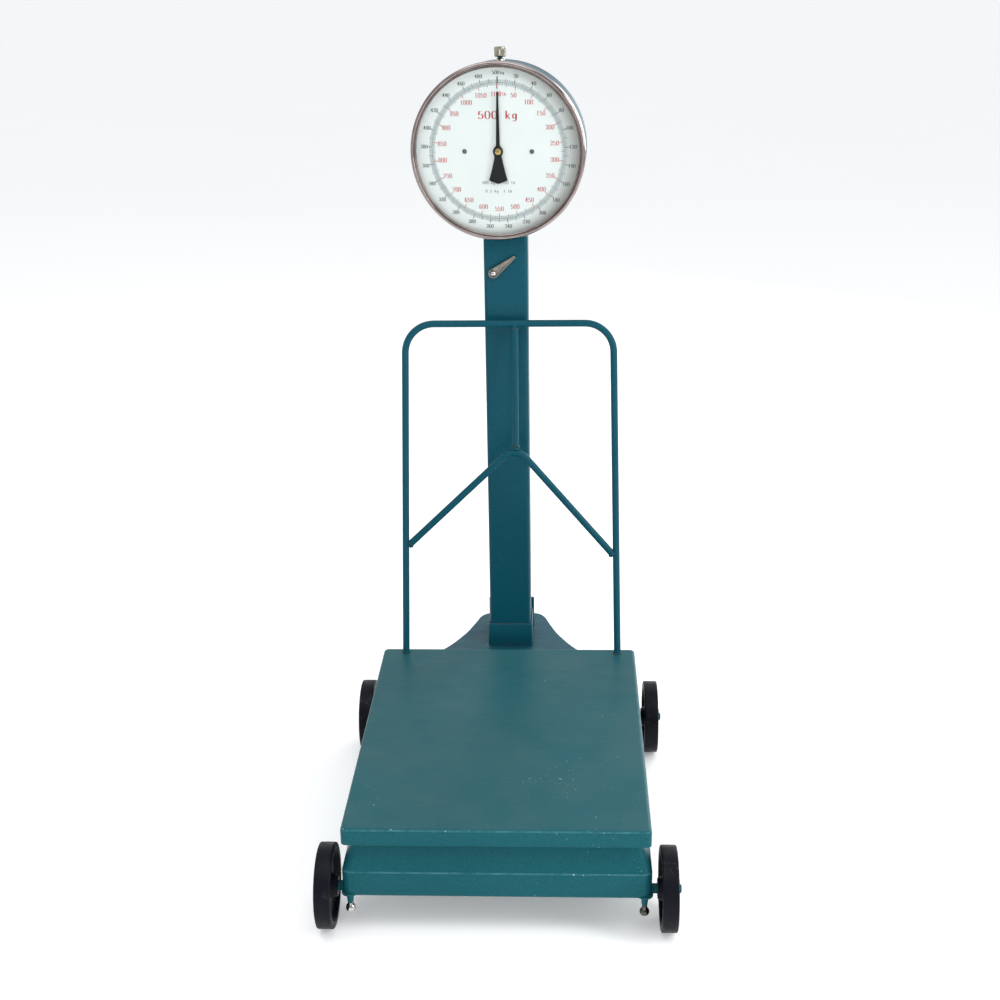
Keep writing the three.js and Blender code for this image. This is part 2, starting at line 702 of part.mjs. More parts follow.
function pinionOutline() {
  const base = PITCH_RADIUS * Math.cos(PRESSURE_ANGLE);
  const root = PITCH_RADIUS - 0.75;
  const tip = PITCH_RADIUS + PINION_ADDENDUM;
  const halfTooth = Math.PI / (2 * PINION_TEETH) - BACKLASH / PITCH_RADIUS;
  const halfAngleAt = (r) => halfTooth + involute(PRESSURE_ANGLE) - involute(Math.acos(base / r));
  const radii = [base, (base + tip) / 2, tip];
  const points = [];
  for (let tooth = 0; tooth < PINION_TEETH; tooth += 1) {
    const middle = (2 * Math.PI * tooth) / PINION_TEETH;
    const add = (r, angle) => points.push([r * Math.cos(middle + angle), r * Math.sin(middle + angle)]);
    add(root, -halfAngleAt(base));
    radii.forEach((r) => add(r, -halfAngleAt(r)));
    [...radii].reverse().forEach((r) => add(r, halfAngleAt(r)));
    add(root, halfAngleAt(base));
  }
  return points;
}

function pinionArbor() {
  const teeth = plateUpright(pinionOutline(), [RACK_DEPTH - 4, RACK_DEPTH + 4]);
  return join(teeth, rod('y', 2, -48.6, -7, [0, 0], 12));
}

function rackBar() {
  const teeth = 15;
  const first = -1;
  const half = CIRCULAR_PITCH / 4 - BACKLASH;
  const slope = Math.tan(PRESSURE_ANGLE);
  const root = 0.95;
  const points = [[8, CROSSHEAD_Z + 8 + GAP - DIAL_Z], [8, (first + teeth + 0.5) * CIRCULAR_PITCH]];
  for (let i = first + teeth - 1; i >= first; i -= 1) {
    const z = (i + 0.5) * CIRCULAR_PITCH;
    points.push([root, z + half + slope * root]);
    points.push([-RACK_ADDENDUM, z + half - slope * RACK_ADDENDUM]);
    points.push([-RACK_ADDENDUM, z - half + slope * RACK_ADDENDUM]);
    points.push([root, z - half - slope * root]);
  }
  points.push([root, CROSSHEAD_Z + 8 + GAP - DIAL_Z]);
  return plateUpright(points, [RACK_DEPTH - 3.5, RACK_DEPTH + 3.5]);
}

function movementFrame() {
  const [z0, z1] = [DIAL_Z - 20, DIAL_Z + 20];
  const front = box([-60, 60], [-39, -36], [z0, z1]);
  const rear = box([-60, 60], [-13, -10], [z0, z1]);
  const sides = [-1, 1].map((side) => {
    const x = [side * 57, side * 60].sort((a, b) => a - b);
    return box(x, [-39, DRUM_BACK - DRUM_WALL - GAP], [z0, z1]);
  });
  const bearing = rod('y', 2.3, -45, -5, [0, DIAL_Z], 12);
  return cut(join(front, rear, ...sides), bearing);
}

place(head, 'pinion_arbor', pinionArbor(), BRASS, [HEAD_X, 0, DIAL_Z]);
place(head, 'rack', rackBar(), BRASS, [HEAD_X + PITCH_RADIUS, 0, DIAL_Z]);
place(head, 'movement_frame', movementFrame(), BRASS, [HEAD_X, 0, 0]);

// ---- head ----
const HEAD_SIDES = 48;

function drum() {
  const inner = DRUM_RADIUS - DRUM_WALL;
  const front = BEZEL_FRONT + 7.3;
  const cup = turned([
    [0, DRUM_BACK],
    [DRUM_RADIUS - 5, DRUM_BACK],
    [DRUM_RADIUS - 1.5, DRUM_BACK - 1.5],
    [DRUM_RADIUS, DRUM_BACK - 5],
    [DRUM_RADIUS, front],
    [inner, front],
    [inner, DRUM_BACK - 5],
    [inner - 4, DRUM_BACK - DRUM_WALL],
    [0, DRUM_BACK - DRUM_WALL],
  ], HEAD_SIDES).translate(HEAD_X, 0, DIAL_Z);
  const halfX = COLUMN_WIDTH / 2 + GAP;
  const halfY = COLUMN_DEPTH / 2 + GAP;
  const columnEnd = box([-halfX, halfX], [-halfY, halfY], [COLUMN_TOP - 60, COLUMN_TOP + GAP]);
  const screwHole = rod('z', 4, DIAL_Z + 100, DIAL_Z + 160, [HEAD_X, 0], 12);
  return cut(cup, columnEnd.rotateZ(HEAD_TURN), screwHole);
}

function bezel() {
  const back = BEZEL_FRONT + BEZEL_DEPTH;
  const seat = BEZEL_FRONT + 3.7;
  const sleeve = DRUM_RADIUS + GAP;
  return turned([
    [BEZEL_OPENING, BEZEL_FRONT + 1.5],
    [BEZEL_OPENING + 2, BEZEL_FRONT],
    [BEZEL_RADIUS - 2.5, BEZEL_FRONT],
    [BEZEL_RADIUS, BEZEL_FRONT + 2.5],
    [BEZEL_RADIUS, back],
    [sleeve, back],
    [sleeve, seat],
    [BEZEL_OPENING, seat],
    [BEZEL_OPENING, BEZEL_FRONT + 1.5],
  ], HEAD_SIDES);
}

function disc(radius, front, back, sides = HEAD_SIDES) {
  return turned([[0, front], [radius, front], [radius, back], [0, back]], sides);
}

function dialPlate() {
  const plate = disc(DRUM_RADIUS - DRUM_WALL - 0.6, DIAL_FRONT, DIAL_FRONT + 1.5);
  const holes = [-1, 1].map((side) => rod('y', 2.4, -50, -40, [side * DIAL_SCREW_X, 0], 10));
  return cut(plate, rod('y', 5, -50, -40, [0, 0], 12), ...holes);
}

function dialScrew() {
  return turned([
    [0, DIAL_FRONT - 2],
    [2.6, DIAL_FRONT - 1.7],
    [4, DIAL_FRONT - GAP],
    [2, DIAL_FRONT - GAP],
    [2, -39 - GAP],
    [0, -39 - GAP],
  ], 12);
}

const POINTER_FRONT = -48.4;
const POINTER_BACK = -47;

function pointer() {
  const outline = [
    [-2.7, 8],
    [-1, 94],
    [0, 97.5],
    [1, 94],
    [2.7, 8],
    [8.4, 1],
    [6, -8],
    [15.5, -47],
    [6, -50],
    [0, -53],
    [-6, -50],
    [-15.5, -47],
    [-6, -8],
    [-8.4, 1],
  ];
  const blade = plateUpright(outline, [POINTER_FRONT, POINTER_BACK]);
  return cut(blade, rod('y', 2.3, -60, -40, [0, 0], 12));
}

function pointerNut() {
  return turned([[0, -50.4], [3.5, -50.2], [5.4, -49.6], [5.4, -49], [0, -49]], 12);
}

place(head, 'drum', drum(), ENAMEL);
place(head, 'bezel', bezel(), CHROME, [HEAD_X, 0, DIAL_Z]);
place(head, 'dial_glass', disc(140, BEZEL_FRONT + 4, BEZEL_FRONT + 7), GLASS, [HEAD_X, 0, DIAL_Z]);
place(head, 'dial_plate', dialPlate(), DIAL_WHITE, [HEAD_X, 0, DIAL_Z]);
place(head, 'dial_screw_left', dialScrew(), STEEL, [HEAD_X - DIAL_SCREW_X, 0, DIAL_Z]);
place(head, 'dial_screw_right', dialScrew(), STEEL, [HEAD_X + DIAL_SCREW_X, 0, DIAL_Z]);
place(head, 'pointer', pointer(), BLACK, [HEAD_X, 0, DIAL_Z]);
place(head, 'pointer_nut', pointerNut(), BRASS, [HEAD_X, 0, DIAL_Z]);

// ---- zero adjustment ----
const DRUM_TOP = DIAL_Z + DRUM_RADIUS;

function zeroScrew() {
  const collar = DRUM_TOP + GAP;
  return turnedUpright([
    [0, 1146],
    [3, 1146],
    [3, collar],
    [7, collar],
    [7, collar + 3],
    [5, collar + 6],
    [0, collar + 6],
  ], 16);
}

function zeroKnob() {
  const low = DRUM_TOP + 6.6;
  return turnedUpright([[0, low], [9.2, low], [9.6, low + 1], [10.25, 1213.8], [9.4, 1215], [0, 1215]], 20);
}

place(head, 'zero_screw', zeroScrew(), CHROME, [HEAD_X, 0, 0]);
place(head, 'zero_knob', zeroKnob(), NICKEL, [HEAD_X, 0, 0]);

// ---- lock ----
function lockLever() {
  const big = 8.5;
  const small = 2.6;
  const lean = Math.asin((big - small) / LOCK_ARM);
  const points = [];
  const arc = (x, radius, from, to, steps) => {
    for (let i = 0; i <= steps; i += 1) {
      const angle = from + ((to - from) * i) / steps;
      points.push(new THREE.Vector2(x + radius * Math.cos(angle), radius * Math.sin(angle)));
    }
  };
  arc(0, big, Math.PI / 2 - lean, (3 * Math.PI) / 2 + lean, 10);
  arc(LOCK_ARM, small, -Math.PI / 2 + lean, Math.PI / 2 - lean, 4);
  const turnedUp = points.map((p) => p.rotateAround(new THREE.Vector2(), LOCK_ANGLE));
  return plateUpright(turnedUp.map((p) => [p.x, p.y]), [378.4, 382.4]);
}

function lockScrew() {
  return turned([[0, 374.6], [3, 375], [4.4, 376.4], [4.4, 378.1], [0, 378.1]], 12);
}

function lockCam() {
  const spindle = rod('y', 5, 382.7, COLUMN_Y + 14, [0, 0], 12);
  const lobe = box([-5, 5], [COLUMN_Y - 14, COLUMN_Y + 14], [0, 16]);
  return join(spindle, lobe);
}

const lockPlace = [LOCK_X, 0, LOCK_Z];
place(scale, 'lock_lever', lockLever(), NICKEL, lockPlace);
place(scale, 'lock_screw', lockScrew(), STEEL, lockPlace);
place(scale, 'lock_cam', lockCam(), STEEL, lockPlace);

export default scale;
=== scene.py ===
"""Looks of a mechanical dial platform scale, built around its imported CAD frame."""

import json
import math

import bmesh
import bpy
from mathutils import Matrix, Vector, noise


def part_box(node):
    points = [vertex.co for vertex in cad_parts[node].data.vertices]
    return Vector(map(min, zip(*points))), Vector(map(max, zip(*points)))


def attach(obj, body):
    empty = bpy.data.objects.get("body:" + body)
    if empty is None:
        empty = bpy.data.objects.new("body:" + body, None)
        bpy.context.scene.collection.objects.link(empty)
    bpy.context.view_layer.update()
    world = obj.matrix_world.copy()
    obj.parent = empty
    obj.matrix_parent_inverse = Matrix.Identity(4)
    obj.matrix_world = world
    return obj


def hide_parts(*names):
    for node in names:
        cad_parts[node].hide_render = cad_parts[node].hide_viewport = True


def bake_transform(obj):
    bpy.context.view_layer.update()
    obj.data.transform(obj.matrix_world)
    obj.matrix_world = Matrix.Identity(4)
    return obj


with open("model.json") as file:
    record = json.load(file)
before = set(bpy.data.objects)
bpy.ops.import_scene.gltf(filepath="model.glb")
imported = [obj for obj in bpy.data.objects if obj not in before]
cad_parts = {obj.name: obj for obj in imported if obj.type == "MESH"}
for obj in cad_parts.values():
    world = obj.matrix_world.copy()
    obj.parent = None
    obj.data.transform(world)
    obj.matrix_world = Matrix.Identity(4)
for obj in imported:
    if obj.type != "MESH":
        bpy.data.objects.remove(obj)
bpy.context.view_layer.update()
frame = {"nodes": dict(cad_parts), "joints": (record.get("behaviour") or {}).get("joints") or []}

# ---- places, in millimetres from the middle of the deck and the floor ----
MM = 0.001


def middle(node):
    low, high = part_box(node)
    return (low + high) / 2


CENTRE = Vector((0, middle("deck").y, 0))


def box_mm(node):
    """A CAD node's box, in millimetres from the middle of the deck."""
    low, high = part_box(node)
    return (low - CENTRE) / MM, (high - CENTRE) / MM


def middle_mm(node):
    low, high = box_mm(node)
    return (low + high) / 2


deck_low, deck_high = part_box("deck")
DECK_HALF_X = (deck_high.x - deck_low.x) / 2 / MM
DECK_HALF_Y = (deck_high.y - deck_low.y) / 2 / MM
DECK_TOP = deck_high.z / MM
LIP_BOTTOM = deck_low.z / MM
BODY = Matrix.Translation(CENTRE) @ Matrix.Scale(MM, 4)

column_low, column_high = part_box("column")
COLUMN_HALF = (column_high.x - column_low.x) / 2 / MM
COLUMN_FRONT = (column_low.y - CENTRE.y) / MM
COLUMN_BACK = (column_high.y - CENTRE.y) / MM
COLUMN_Y = (COLUMN_FRONT + COLUMN_BACK) / 2

pointer_axis = next(j["axis"] for j in frame["joints"] if j["name"] == "pointer_turn")
HEAD_TURN = math.atan2(pointer_axis[0], pointer_axis[1])
HEAD = BODY @ Matrix.Translation((0, COLUMN_Y, 0)) @ Matrix.Rotation(-HEAD_TURN, 4, "Z")
DIAL_X = -6
DIAL_Z = middle("bezel").z / MM
DIAL = HEAD @ Matrix.Translation((DIAL_X, 0, DIAL_Z))
FACE = -44.0  # the dial's front, from the column's axis


# ---- materials ----
def socket_value(node, name, value):
    node.inputs[name].default_value = value


class Finish:
    """A material with one Principled shader and small helpers for its nodes."""

    def __init__(self, name, colour, roughness, metallic=0.0, level=0.5):
        self.material = bpy.data.materials.new(name)
        self.material.use_nodes = True
        self.tree = self.material.node_tree
        self.shader = self.tree.nodes["Principled BSDF"]
        socket_value(self.shader, "Base Color", (*colour, 1))
        socket_value(self.shader, "Roughness", roughness)
        socket_value(self.shader, "Metallic", metallic)
        socket_value(self.shader, "Specular IOR Level", level)
        self.coordinates = self.tree.nodes.new("ShaderNodeTexCoord")

    def link(self, source, target):
        self.tree.links.new(source, target)

    def noise(self, scale, detail=2.0, rough=0.5, stretch=None):
        node = self.tree.nodes.new("ShaderNodeTexNoise")
        socket_value(node, "Scale", scale)
        socket_value(node, "Detail", detail)
        socket_value(node, "Roughness", rough)
        vector = self.coordinates.outputs["Object"]
        if stretch:
            mapping = self.tree.nodes.new("ShaderNodeMapping")
            socket_value(mapping, "Scale", stretch)
            self.link(vector, mapping.inputs["Vector"])
            vector = mapping.outputs["Vector"]
        self.link(vector, node.inputs["Vector"])
        return node.outputs["Fac"]

    def between(self, value, low, high, to_low=0.0, to_high=1.0):
        node = self.tree.nodes.new("ShaderNodeMapRange")
        socket_value(node, "From Min", low)
        socket_value(node, "From Max", high)
        socket_value(node, "To Min", to_low)
        socket_value(node, "To Max", to_high)
        self.link(value, node.inputs["Value"])
        return node.outputs["Result"]

    def cloud(self, noise_settings, low, high, to_low=0.0, to_high=1.0):
        """Noise of a scale, detail and roughness, stretched from low..high to to_low..to_high."""
        return self.between(self.noise(*noise_settings), low, high, to_low, to_high)

    def times(self, a, b):
        node = self.tree.nodes.new("ShaderNodeMath")
        node.operation = "MULTIPLY"
        for value, place in ((a, 0), (b, 1)):
            if isinstance(value, float):
                node.inputs[place].default_value = value
            else:
                self.link(value, node.inputs[place])
        return node.outputs[0]

    def facing_up(self, low=0.75, high=0.98):
        split = self.tree.nodes.new("ShaderNodeSeparateXYZ")
        self.link(self.coordinates.outputs["Normal"], split.inputs[0])
        return self.between(split.outputs["Z"], low, high)

    def at_height(self, height, reach):
        """1 at a height in metres, falling to 0 above and below it."""
        split = self.tree.nodes.new("ShaderNodeSeparateXYZ")
        self.link(self.coordinates.outputs["Object"], split.inputs[0])
        away = self.tree.nodes.new("ShaderNodeMath")
        away.operation = "COMPARE"
        self.link(split.outputs["Z"], away.inputs[0])
        away.inputs[1].default_value = height
        away.inputs[2].default_value = reach
        return away.outputs[0]

    def mix(self, factor, first, second):
        node = self.tree.nodes.new("ShaderNodeMix")
        node.data_type = "RGBA"
        for value, name in ((first, "A"), (second, "B")):
            place = next(s for s in node.inputs if s.name == name and s.type == "RGBA")
            if isinstance(value, tuple):
                place.default_value = (*value, 1)
            else:
                self.link(value, place)
        self.link(factor, node.inputs[0])
        return next(s for s in node.outputs if s.type == "RGBA")

    def colour(self, value):
        self.link(value, self.shader.inputs["Base Color"])

    def roughness(self, value):
        self.link(value, self.shader.inputs["Roughness"])

    def bump(self, *layers):
        normal = None
        for height, distance in layers:
            node = self.tree.nodes.new("ShaderNodeBump")
            socket_value(node, "Strength", 1.0)
            socket_value(node, "Distance", distance)
            self.link(height, node.inputs["Height"])
            if normal:
                self.link(normal, node.inputs["Normal"])
            normal = node.outputs["Normal"]
        self.link(normal, self.shader.inputs["Normal"])


TEAL, LIGHT_TEAL = (0.0022, 0.053, 0.078), (0.0035, 0.063, 0.091)
# a lighter teal, used both for rubbed edges and as a painted highlight along them
RUBBED_AND_HIGHLIT_TEAL = (0.09, 0.24, 0.27)
DUST, RUST = (0.19, 0.19, 0.155), (0.085, 0.032, 0.013)
CHIPPED, BARE = (0.36, 0.42, 0.42), (0.42, 0.5, 0.5)


def enamel(name, chips=0.5, rust=0.0, low=TEAL, high=LIGHT_TEAL, dusty=0.4, edges=()):
    """Sprayed semi-gloss teal paint: orange peel, dust on flat tops, small pale chips.

    Edges are pairs of a height and a reach, in metres, where the paint is rubbed thin and a lighter band is
    painted along the edge as a highlight.
    """
    finish = Finish(name, low, 0.42, level=0.11)
    broad = finish.cloud((3.0, 3), 0.3, 0.7)
    colour = finish.mix(broad, low, high)
    grain = finish.cloud((520, 3, 0.75), 0.4, 0.62)
    colour = finish.mix(finish.times(grain, 0.3), colour, tuple(1.55 * c + 0.004 for c in high))
    dark = finish.cloud((360, 4, 0.75), 0.56, 0.64)
    colour = finish.mix(finish.times(dark, 0.5), colour, tuple(0.5 * c for c in low))
    dust = finish.times(finish.facing_up(), finish.cloud((9, 5, 0.65), 0.35, 0.75, 0.03, 0.12))
    colour = finish.mix(finish.times(dust, dusty), colour, DUST)
    for height, reach in edges:
        # rubbed paint and painted highlight: a lighter teal band along the edge
        rubbed_and_highlit = finish.times(finish.at_height(height, reach), finish.cloud((45, 5, 0.7), 0.35, 0.6))
        colour = finish.mix(finish.times(rubbed_and_highlit, 0.4), colour, RUBBED_AND_HIGHLIT_TEAL)
        bare = finish.cloud((170, 3, 0.6), 0.68, 0.71)
        flecks = finish.times(finish.at_height(height, 1.4 * reach), bare)
        colour = finish.mix(flecks, colour, BARE)
    patches = finish.cloud((5, 2), 0.66 - 0.08 * chips, 0.72 - 0.04 * chips)
    spots = finish.cloud((190, 3, 0.6), 0.72 - 0.02 * chips, 0.735 - 0.02 * chips)
    chipped = finish.times(patches, spots)
    colour = finish.mix(chipped, colour, CHIPPED)
    if rust:
        rusty = finish.cloud((130, 5, 0.7), 0.6 - 0.25 * rust, 0.66 - 0.2 * rust)
        colour = finish.mix(finish.times(rusty, 0.8), colour, RUST)
    finish.colour(colour)
    wear = finish.noise(24, 4, 0.6, (1.0, 5.0, 1.0))
    finish.roughness(finish.between(wear, 0.3, 0.7, 0.32, 0.46))
    peel = finish.noise(420, 2)
    finish.bump((peel, 0.00006), (grain, 0.00002), (chipped, -0.00012))
    return finish.material


def polished(name, light, dark, rough_low, rough_high, haze=40.0):
    """Bright plated metal with faint haze and wiping marks."""
    finish = Finish(name, light, rough_low, metallic=1.0)
    cloud = finish.cloud((haze, 4, 0.6), 0.35, 0.7)
    finish.colour(finish.mix(cloud, light, dark))
    finish.roughness(finish.cloud((haze * 2.3, 5, 0.65), 0.3, 0.75, rough_low, rough_high))
    finish.bump((finish.noise(haze * 6, 2), 0.00001))
    return finish.material


def iron(name, colour, scuff, amount, roughness=0.55, grain=0.00018, level=0.3):
    """Painted or raw cast iron: pitted skin and lighter scuffs."""
    finish = Finish(name, colour, roughness, level=level)
    cloud = finish.cloud((16, 4, 0.6), 0.3, 0.7)
    darker = tuple(0.62 * c for c in colour)
    base = finish.mix(cloud, darker, colour)
    marks = finish.cloud((75, 6, 0.72), 0.62 - 0.1 * amount, 0.72)
    where = finish.cloud((11, 3), 0.42, 0.62)
    finish.colour(finish.mix(finish.times(finish.times(marks, where), 0.85), base, scuff))
    finish.roughness(finish.cloud((60, 4), 0.3, 0.7, roughness - 0.12, roughness + 0.15))
    finish.bump((finish.noise(520, 4, 0.65), grain), (finish.noise(70, 3), grain * 2))
    return finish.material


def print_ink(name, colour):
    """Matt printing ink with a little unevenness."""
    finish = Finish(name, colour, 0.6, level=0.2)
    cloud = finish.cloud((220, 3), 0.3, 0.7)
    finish.colour(finish.mix(cloud, colour, tuple(min(1.0, 1.25 * c + 0.01) for c in colour)))
    return finish.material


def dial_paint():
    finish = Finish("dial_face_paint", (0.7, 0.73, 0.725), 0.5, level=0.25)
    cloud = finish.cloud((14, 4, 0.6), 0.3, 0.7)
    colour = finish.mix(cloud, (0.68, 0.72, 0.72), (0.715, 0.735, 0.73))
    specks = finish.cloud((900, 2), 0.74, 0.78)
    colour = finish.mix(specks, colour, (0.55, 0.6, 0.6))
    # painted shadow: the right part of the dial near the rim is darkened where the bezel would shade it
    left_of_hub = DIAL @ Vector((-24, FACE, 2))
    away = finish.tree.nodes.new("ShaderNodeVectorMath")
    away.operation = "DISTANCE"
    finish.link(finish.coordinates.outputs["Object"], away.inputs[0])
    away.inputs[1].default_value = left_of_hub
    bezel_shadow = finish.between(away.outputs["Value"], 0.126, 0.158, 0.0, 0.75)
    finish.colour(finish.mix(bezel_shadow, colour, (0.26, 0.25, 0.225)))
    finish.bump((finish.noise(700, 2), 0.00001))
    return finish.material


def window_glass():
    """Thin clear glass: what is behind it shows, with reflections that grow at a slant."""
    finish = Finish("window_glass", (1, 1, 1), 0.03)
    nodes = finish.tree.nodes
    clear = nodes.new("ShaderNodeBsdfTransparent")
    gloss = nodes.new("ShaderNodeBsdfGlossy")
    slant = nodes.new("ShaderNodeLayerWeight")
    steep = nodes.new("ShaderNodeMath")
    side = nodes.new("ShaderNodeNewGeometry")
    blend = nodes.new("ShaderNodeMixShader")
    socket_value(clear, "Color", (0.98, 0.99, 0.985, 1))
    socket_value(gloss, "Roughness", 0.02)
    socket_value(slant, "Blend", 0.5)
    steep.operation = "POWER"
    steep.inputs[1].default_value = 5.0
    finish.link(slant.outputs["Facing"], steep.inputs[0])
    share = finish.between(steep.outputs[0], 0.0, 1.0, 0.03, 0.85)
    outside = finish.between(side.outputs["Backfacing"], 0.0, 1.0, 1.0, 0.0)
    finish.link(finish.times(share, outside), blend.inputs[0])
    finish.link(clear.outputs[0], blend.inputs[1])
    finish.link(gloss.outputs[0], blend.inputs[2])
    finish.link(blend.outputs[0], nodes["Material Output"].inputs["Surface"])
    nodes.remove(finish.shader)
    return finish.material


ENAMEL = enamel("teal_enamel")
RUBBED_AND_HIGHLIT_EDGES = ((0.1034, 0.0011), (0.1786, 0.0011))  # the base's crease and the deck's rim: rubbed paint with a painted highlight band
WORN_ENAMEL = enamel("teal_enamel_worn", 1.4, 0.0, (0.0035, 0.066, 0.082), (0.0055, 0.08, 0.097),
                     1.0, RUBBED_AND_HIGHLIT_EDGES)
WELD_ENAMEL = enamel("teal_enamel_over_weld", chips=0.4, rust=0.4)
CHROME = polished("chrome", (0.62, 0.6, 0.585), (0.5, 0.47, 0.45), 0.04, 0.1)
# painted reflection: the bezel's chrome colour is darkened and browned to stand for the dark room it
# mirrors
BEZEL_CHROME = polished("chrome_bezel", (0.36, 0.315, 0.3), (0.25, 0.2, 0.19), 0.05, 0.14, 26.0)
DULL_CHROME = polished("chrome_dull", (0.14, 0.135, 0.12), (0.06, 0.058, 0.05), 0.2, 0.4, 300.0)
NICKEL = polished("nickel", (0.44, 0.42, 0.34), (0.32, 0.3, 0.24), 0.16, 0.34, 160.0)
LEVER_PLATE = polished("lever_plate", (0.33, 0.31, 0.27), (0.2, 0.19, 0.17), 0.18, 0.36, 160.0)
STEEL = polished("bare_steel", (0.42, 0.42, 0.42), (0.26, 0.25, 0.23), 0.3, 0.5, 90.0)
SPRING_STEEL = polished("spring_steel", (0.3, 0.31, 0.33), (0.2, 0.2, 0.21), 0.25, 0.4, 90.0)
BRASS = polished("brass", (0.6, 0.42, 0.16), (0.42, 0.28, 0.1), 0.2, 0.38, 120.0)
WHEEL_IRON = iron("wheel_iron", (0.004, 0.0045, 0.0085), (0.1, 0.1, 0.11), 0.5, 0.42, level=0.12)
LEVER_IRON = iron("lever_iron", (0.02, 0.035, 0.04), (0.08, 0.05, 0.03), 0.7, 0.6)
DARK_SCREW = polished("dark_screw", (0.2, 0.22, 0.2), (0.1, 0.11, 0.1), 0.2, 0.32, 300.0)
POINTER_BLACK = iron("pointer_black", (0.003, 0.003, 0.005), (0.02, 0.02, 0.02), 0.1, 0.6,
                     0.00001, 0.08)
DIAL_PAINT = dial_paint()
INK_DARK = print_ink("ink_dark", (0.03, 0.035, 0.045))
INK_RED = print_ink("ink_red", (0.4, 0.025, 0.03))
INK_GREY = print_ink("ink_grey", (0.44, 0.485, 0.485))
GLASS = window_glass()


# ---- mesh building ----
SAME_POINT = 1e-6  # metres


class Shape:
    """Points and faces in one local frame, gathered from lofts, lathes and tubes."""

    def __init__(self):
        self.points = []
        self.faces = []
        self.finishes = []

    def add(self, points, faces, finish=0):
        start = len(self.points)
        self.points += [Vector(p) for p in points]
        self.faces += [[start + i for i in face] for face in faces]
        self.finishes += [finish] * len(faces)

    def loft(self, rings, wrap=False, caps=True, finish=0):
        count = len(rings[0])
        faces = []
        pairs = len(rings) if wrap else len(rings) - 1
        for level in range(pairs):
            low = level * count
            high = ((level + 1) % len(rings)) * count
            for i in range(count):
                j = (i + 1) % count
                faces.append([low + i, low + j, high + j, high + i])
        if caps and not wrap:
            faces.append(list(range(count))[::-1])
            faces.append([(len(rings) - 1) * count + i for i in range(count)])
        self.add([p for ring in rings for p in ring], faces, finish)

    def cap(self, ring):
        self.add(ring, [list(range(len(ring)))])

    def lathe(self, profile, sides=48, axis="Z", centre=(0, 0, 0), wrap=False, finish=0):
        """Profile is (radius, place along the axis) pairs."""
        rings = []
        for radius, place in profile:
            ring = []
            for i in range(sides):
                angle = 2 * math.pi * i / sides
                u, v = radius * math.cos(angle), radius * math.sin(angle)
                point = {"X": (place, u, v), "Y": (u, place, v), "Z": (u, v, place)}[axis]
                ring.append(Vector(centre) + Vector(point))
            rings.append(ring)
        self.loft(rings, wrap, not wrap, finish)

    def tube(self, path, radius, sides=16, closed=False, finish=0, radii=None):
        path = [Vector(p) for p in path]
        count = len(path)
        tangents = []
        for i in range(count):
            before = path[i - 1] if closed or i else path[0]
            after = path[(i + 1) % count] if closed or i + 1 < count else path[-1]
            tangents.append((after - before).normalized())
        up = Vector((0, 0, 1)) if abs(tangents[0].z) < 0.9 else Vector((1, 0, 0))
        side = tangents[0].cross(up).normalized()
        rings = []
        for i in range(count):
            side = (side - tangents[i] * side.dot(tangents[i])).normalized()
            other = tangents[i].cross(side)
            r = radii[i] if radii else radius
            ring = []
            for k in range(sides):
                angle = 2 * math.pi * k / sides
                ring.append(path[i] + r * (side * math.cos(angle) + other * math.sin(angle)))
            rings.append(ring)
        self.loft(rings, closed, not closed, finish)

    def box(self, x, y, z, edge=1.0, finish=0):
        """A box with its edges cut off."""
        mid = Vector(((x[0] + x[1]) / 2, (y[0] + y[1]) / 2, (z[0] + z[1]) / 2))
        half = Vector(((x[1] - x[0]) / 2, (y[1] - y[0]) / 2, (z[1] - z[0]) / 2))
        rings = []
        levels = ((-half.z, edge), (-half.z + edge, 0), (half.z - edge, 0), (half.z, edge))
        for place, inset in levels:
            outline = rounded(half.x - inset, half.y - inset, max(edge, 0.2), 3)
            rings.append([mid + Vector((p[0], p[1], place)) for p in outline])
        self.loft(rings, finish=finish)

    def object(self, name, materials, matrix, body, crease=35):
        """The piece: its local millimetres are placed by the matrix, and it rides on the body."""
        mesh = bpy.data.meshes.new(name)
        mesh.from_pydata([matrix @ p for p in self.points], [], self.faces)
        materials = materials if isinstance(materials, (list, tuple)) else [materials]
        for material in materials:
            mesh.materials.append(material)
        mesh.polygons.foreach_set("material_index", self.finishes)
        work = bmesh.new()
        work.from_mesh(mesh)
        bmesh.ops.remove_doubles(work, verts=work.verts, dist=SAME_POINT)
        bmesh.ops.recalc_face_normals(work, faces=work.faces)
        work.to_mesh(mesh)
        work.free()
        mesh.shade_smooth()
        mesh.set_sharp_from_angle(angle=math.radians(crease))
        piece = bpy.data.objects.new(name, mesh)
        bpy.context.scene.collection.objects.link(piece)
        if body:
            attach(piece, body)
        return piece


def rounded(half_x, half_y, radius, steps=6, along=0):
    """A rounded rectangle's outline. along adds points to its straight sides."""
    points = []
    for quarter, (sx, sy) in enumerate(((1, 1), (-1, 1), (-1, -1), (1, -1))):
        for i in range(steps + 1):
            angle = math.pi / 2 * (quarter + i / steps)
            x = sx * (half_x - radius) + radius * math.cos(angle)
            y = sy * (half_y - radius) + radius * math.sin(angle)
            points.append(Vector((x, y)))
    if not along:
        return points
    dense = []
    for i, point in enumerate(points):
        dense.append(point)
        after = points[(i + 1) % len(points)]
        if (after - point).length > 4 * radius:
            dense += [point.lerp(after, k / (along + 1)) for k in range(1, along + 1)]
    return dense


def at_level(outline, z, back=0.0):
    return [Vector((p[0], p[1] + back, z)) for p in outline]


def bead(path, radius, seed, lumps=0.35):
    """A weld bead's uneven radii along its path."""
    radii = []
    for i, point in enumerate(path):
        wave = noise.noise(Vector(point) * 0.35 + Vector((seed, 0, 0)))
        radii.append(radius * (1 + lumps * wave + 0.12 * math.sin(i * 2.1)))
    return radii


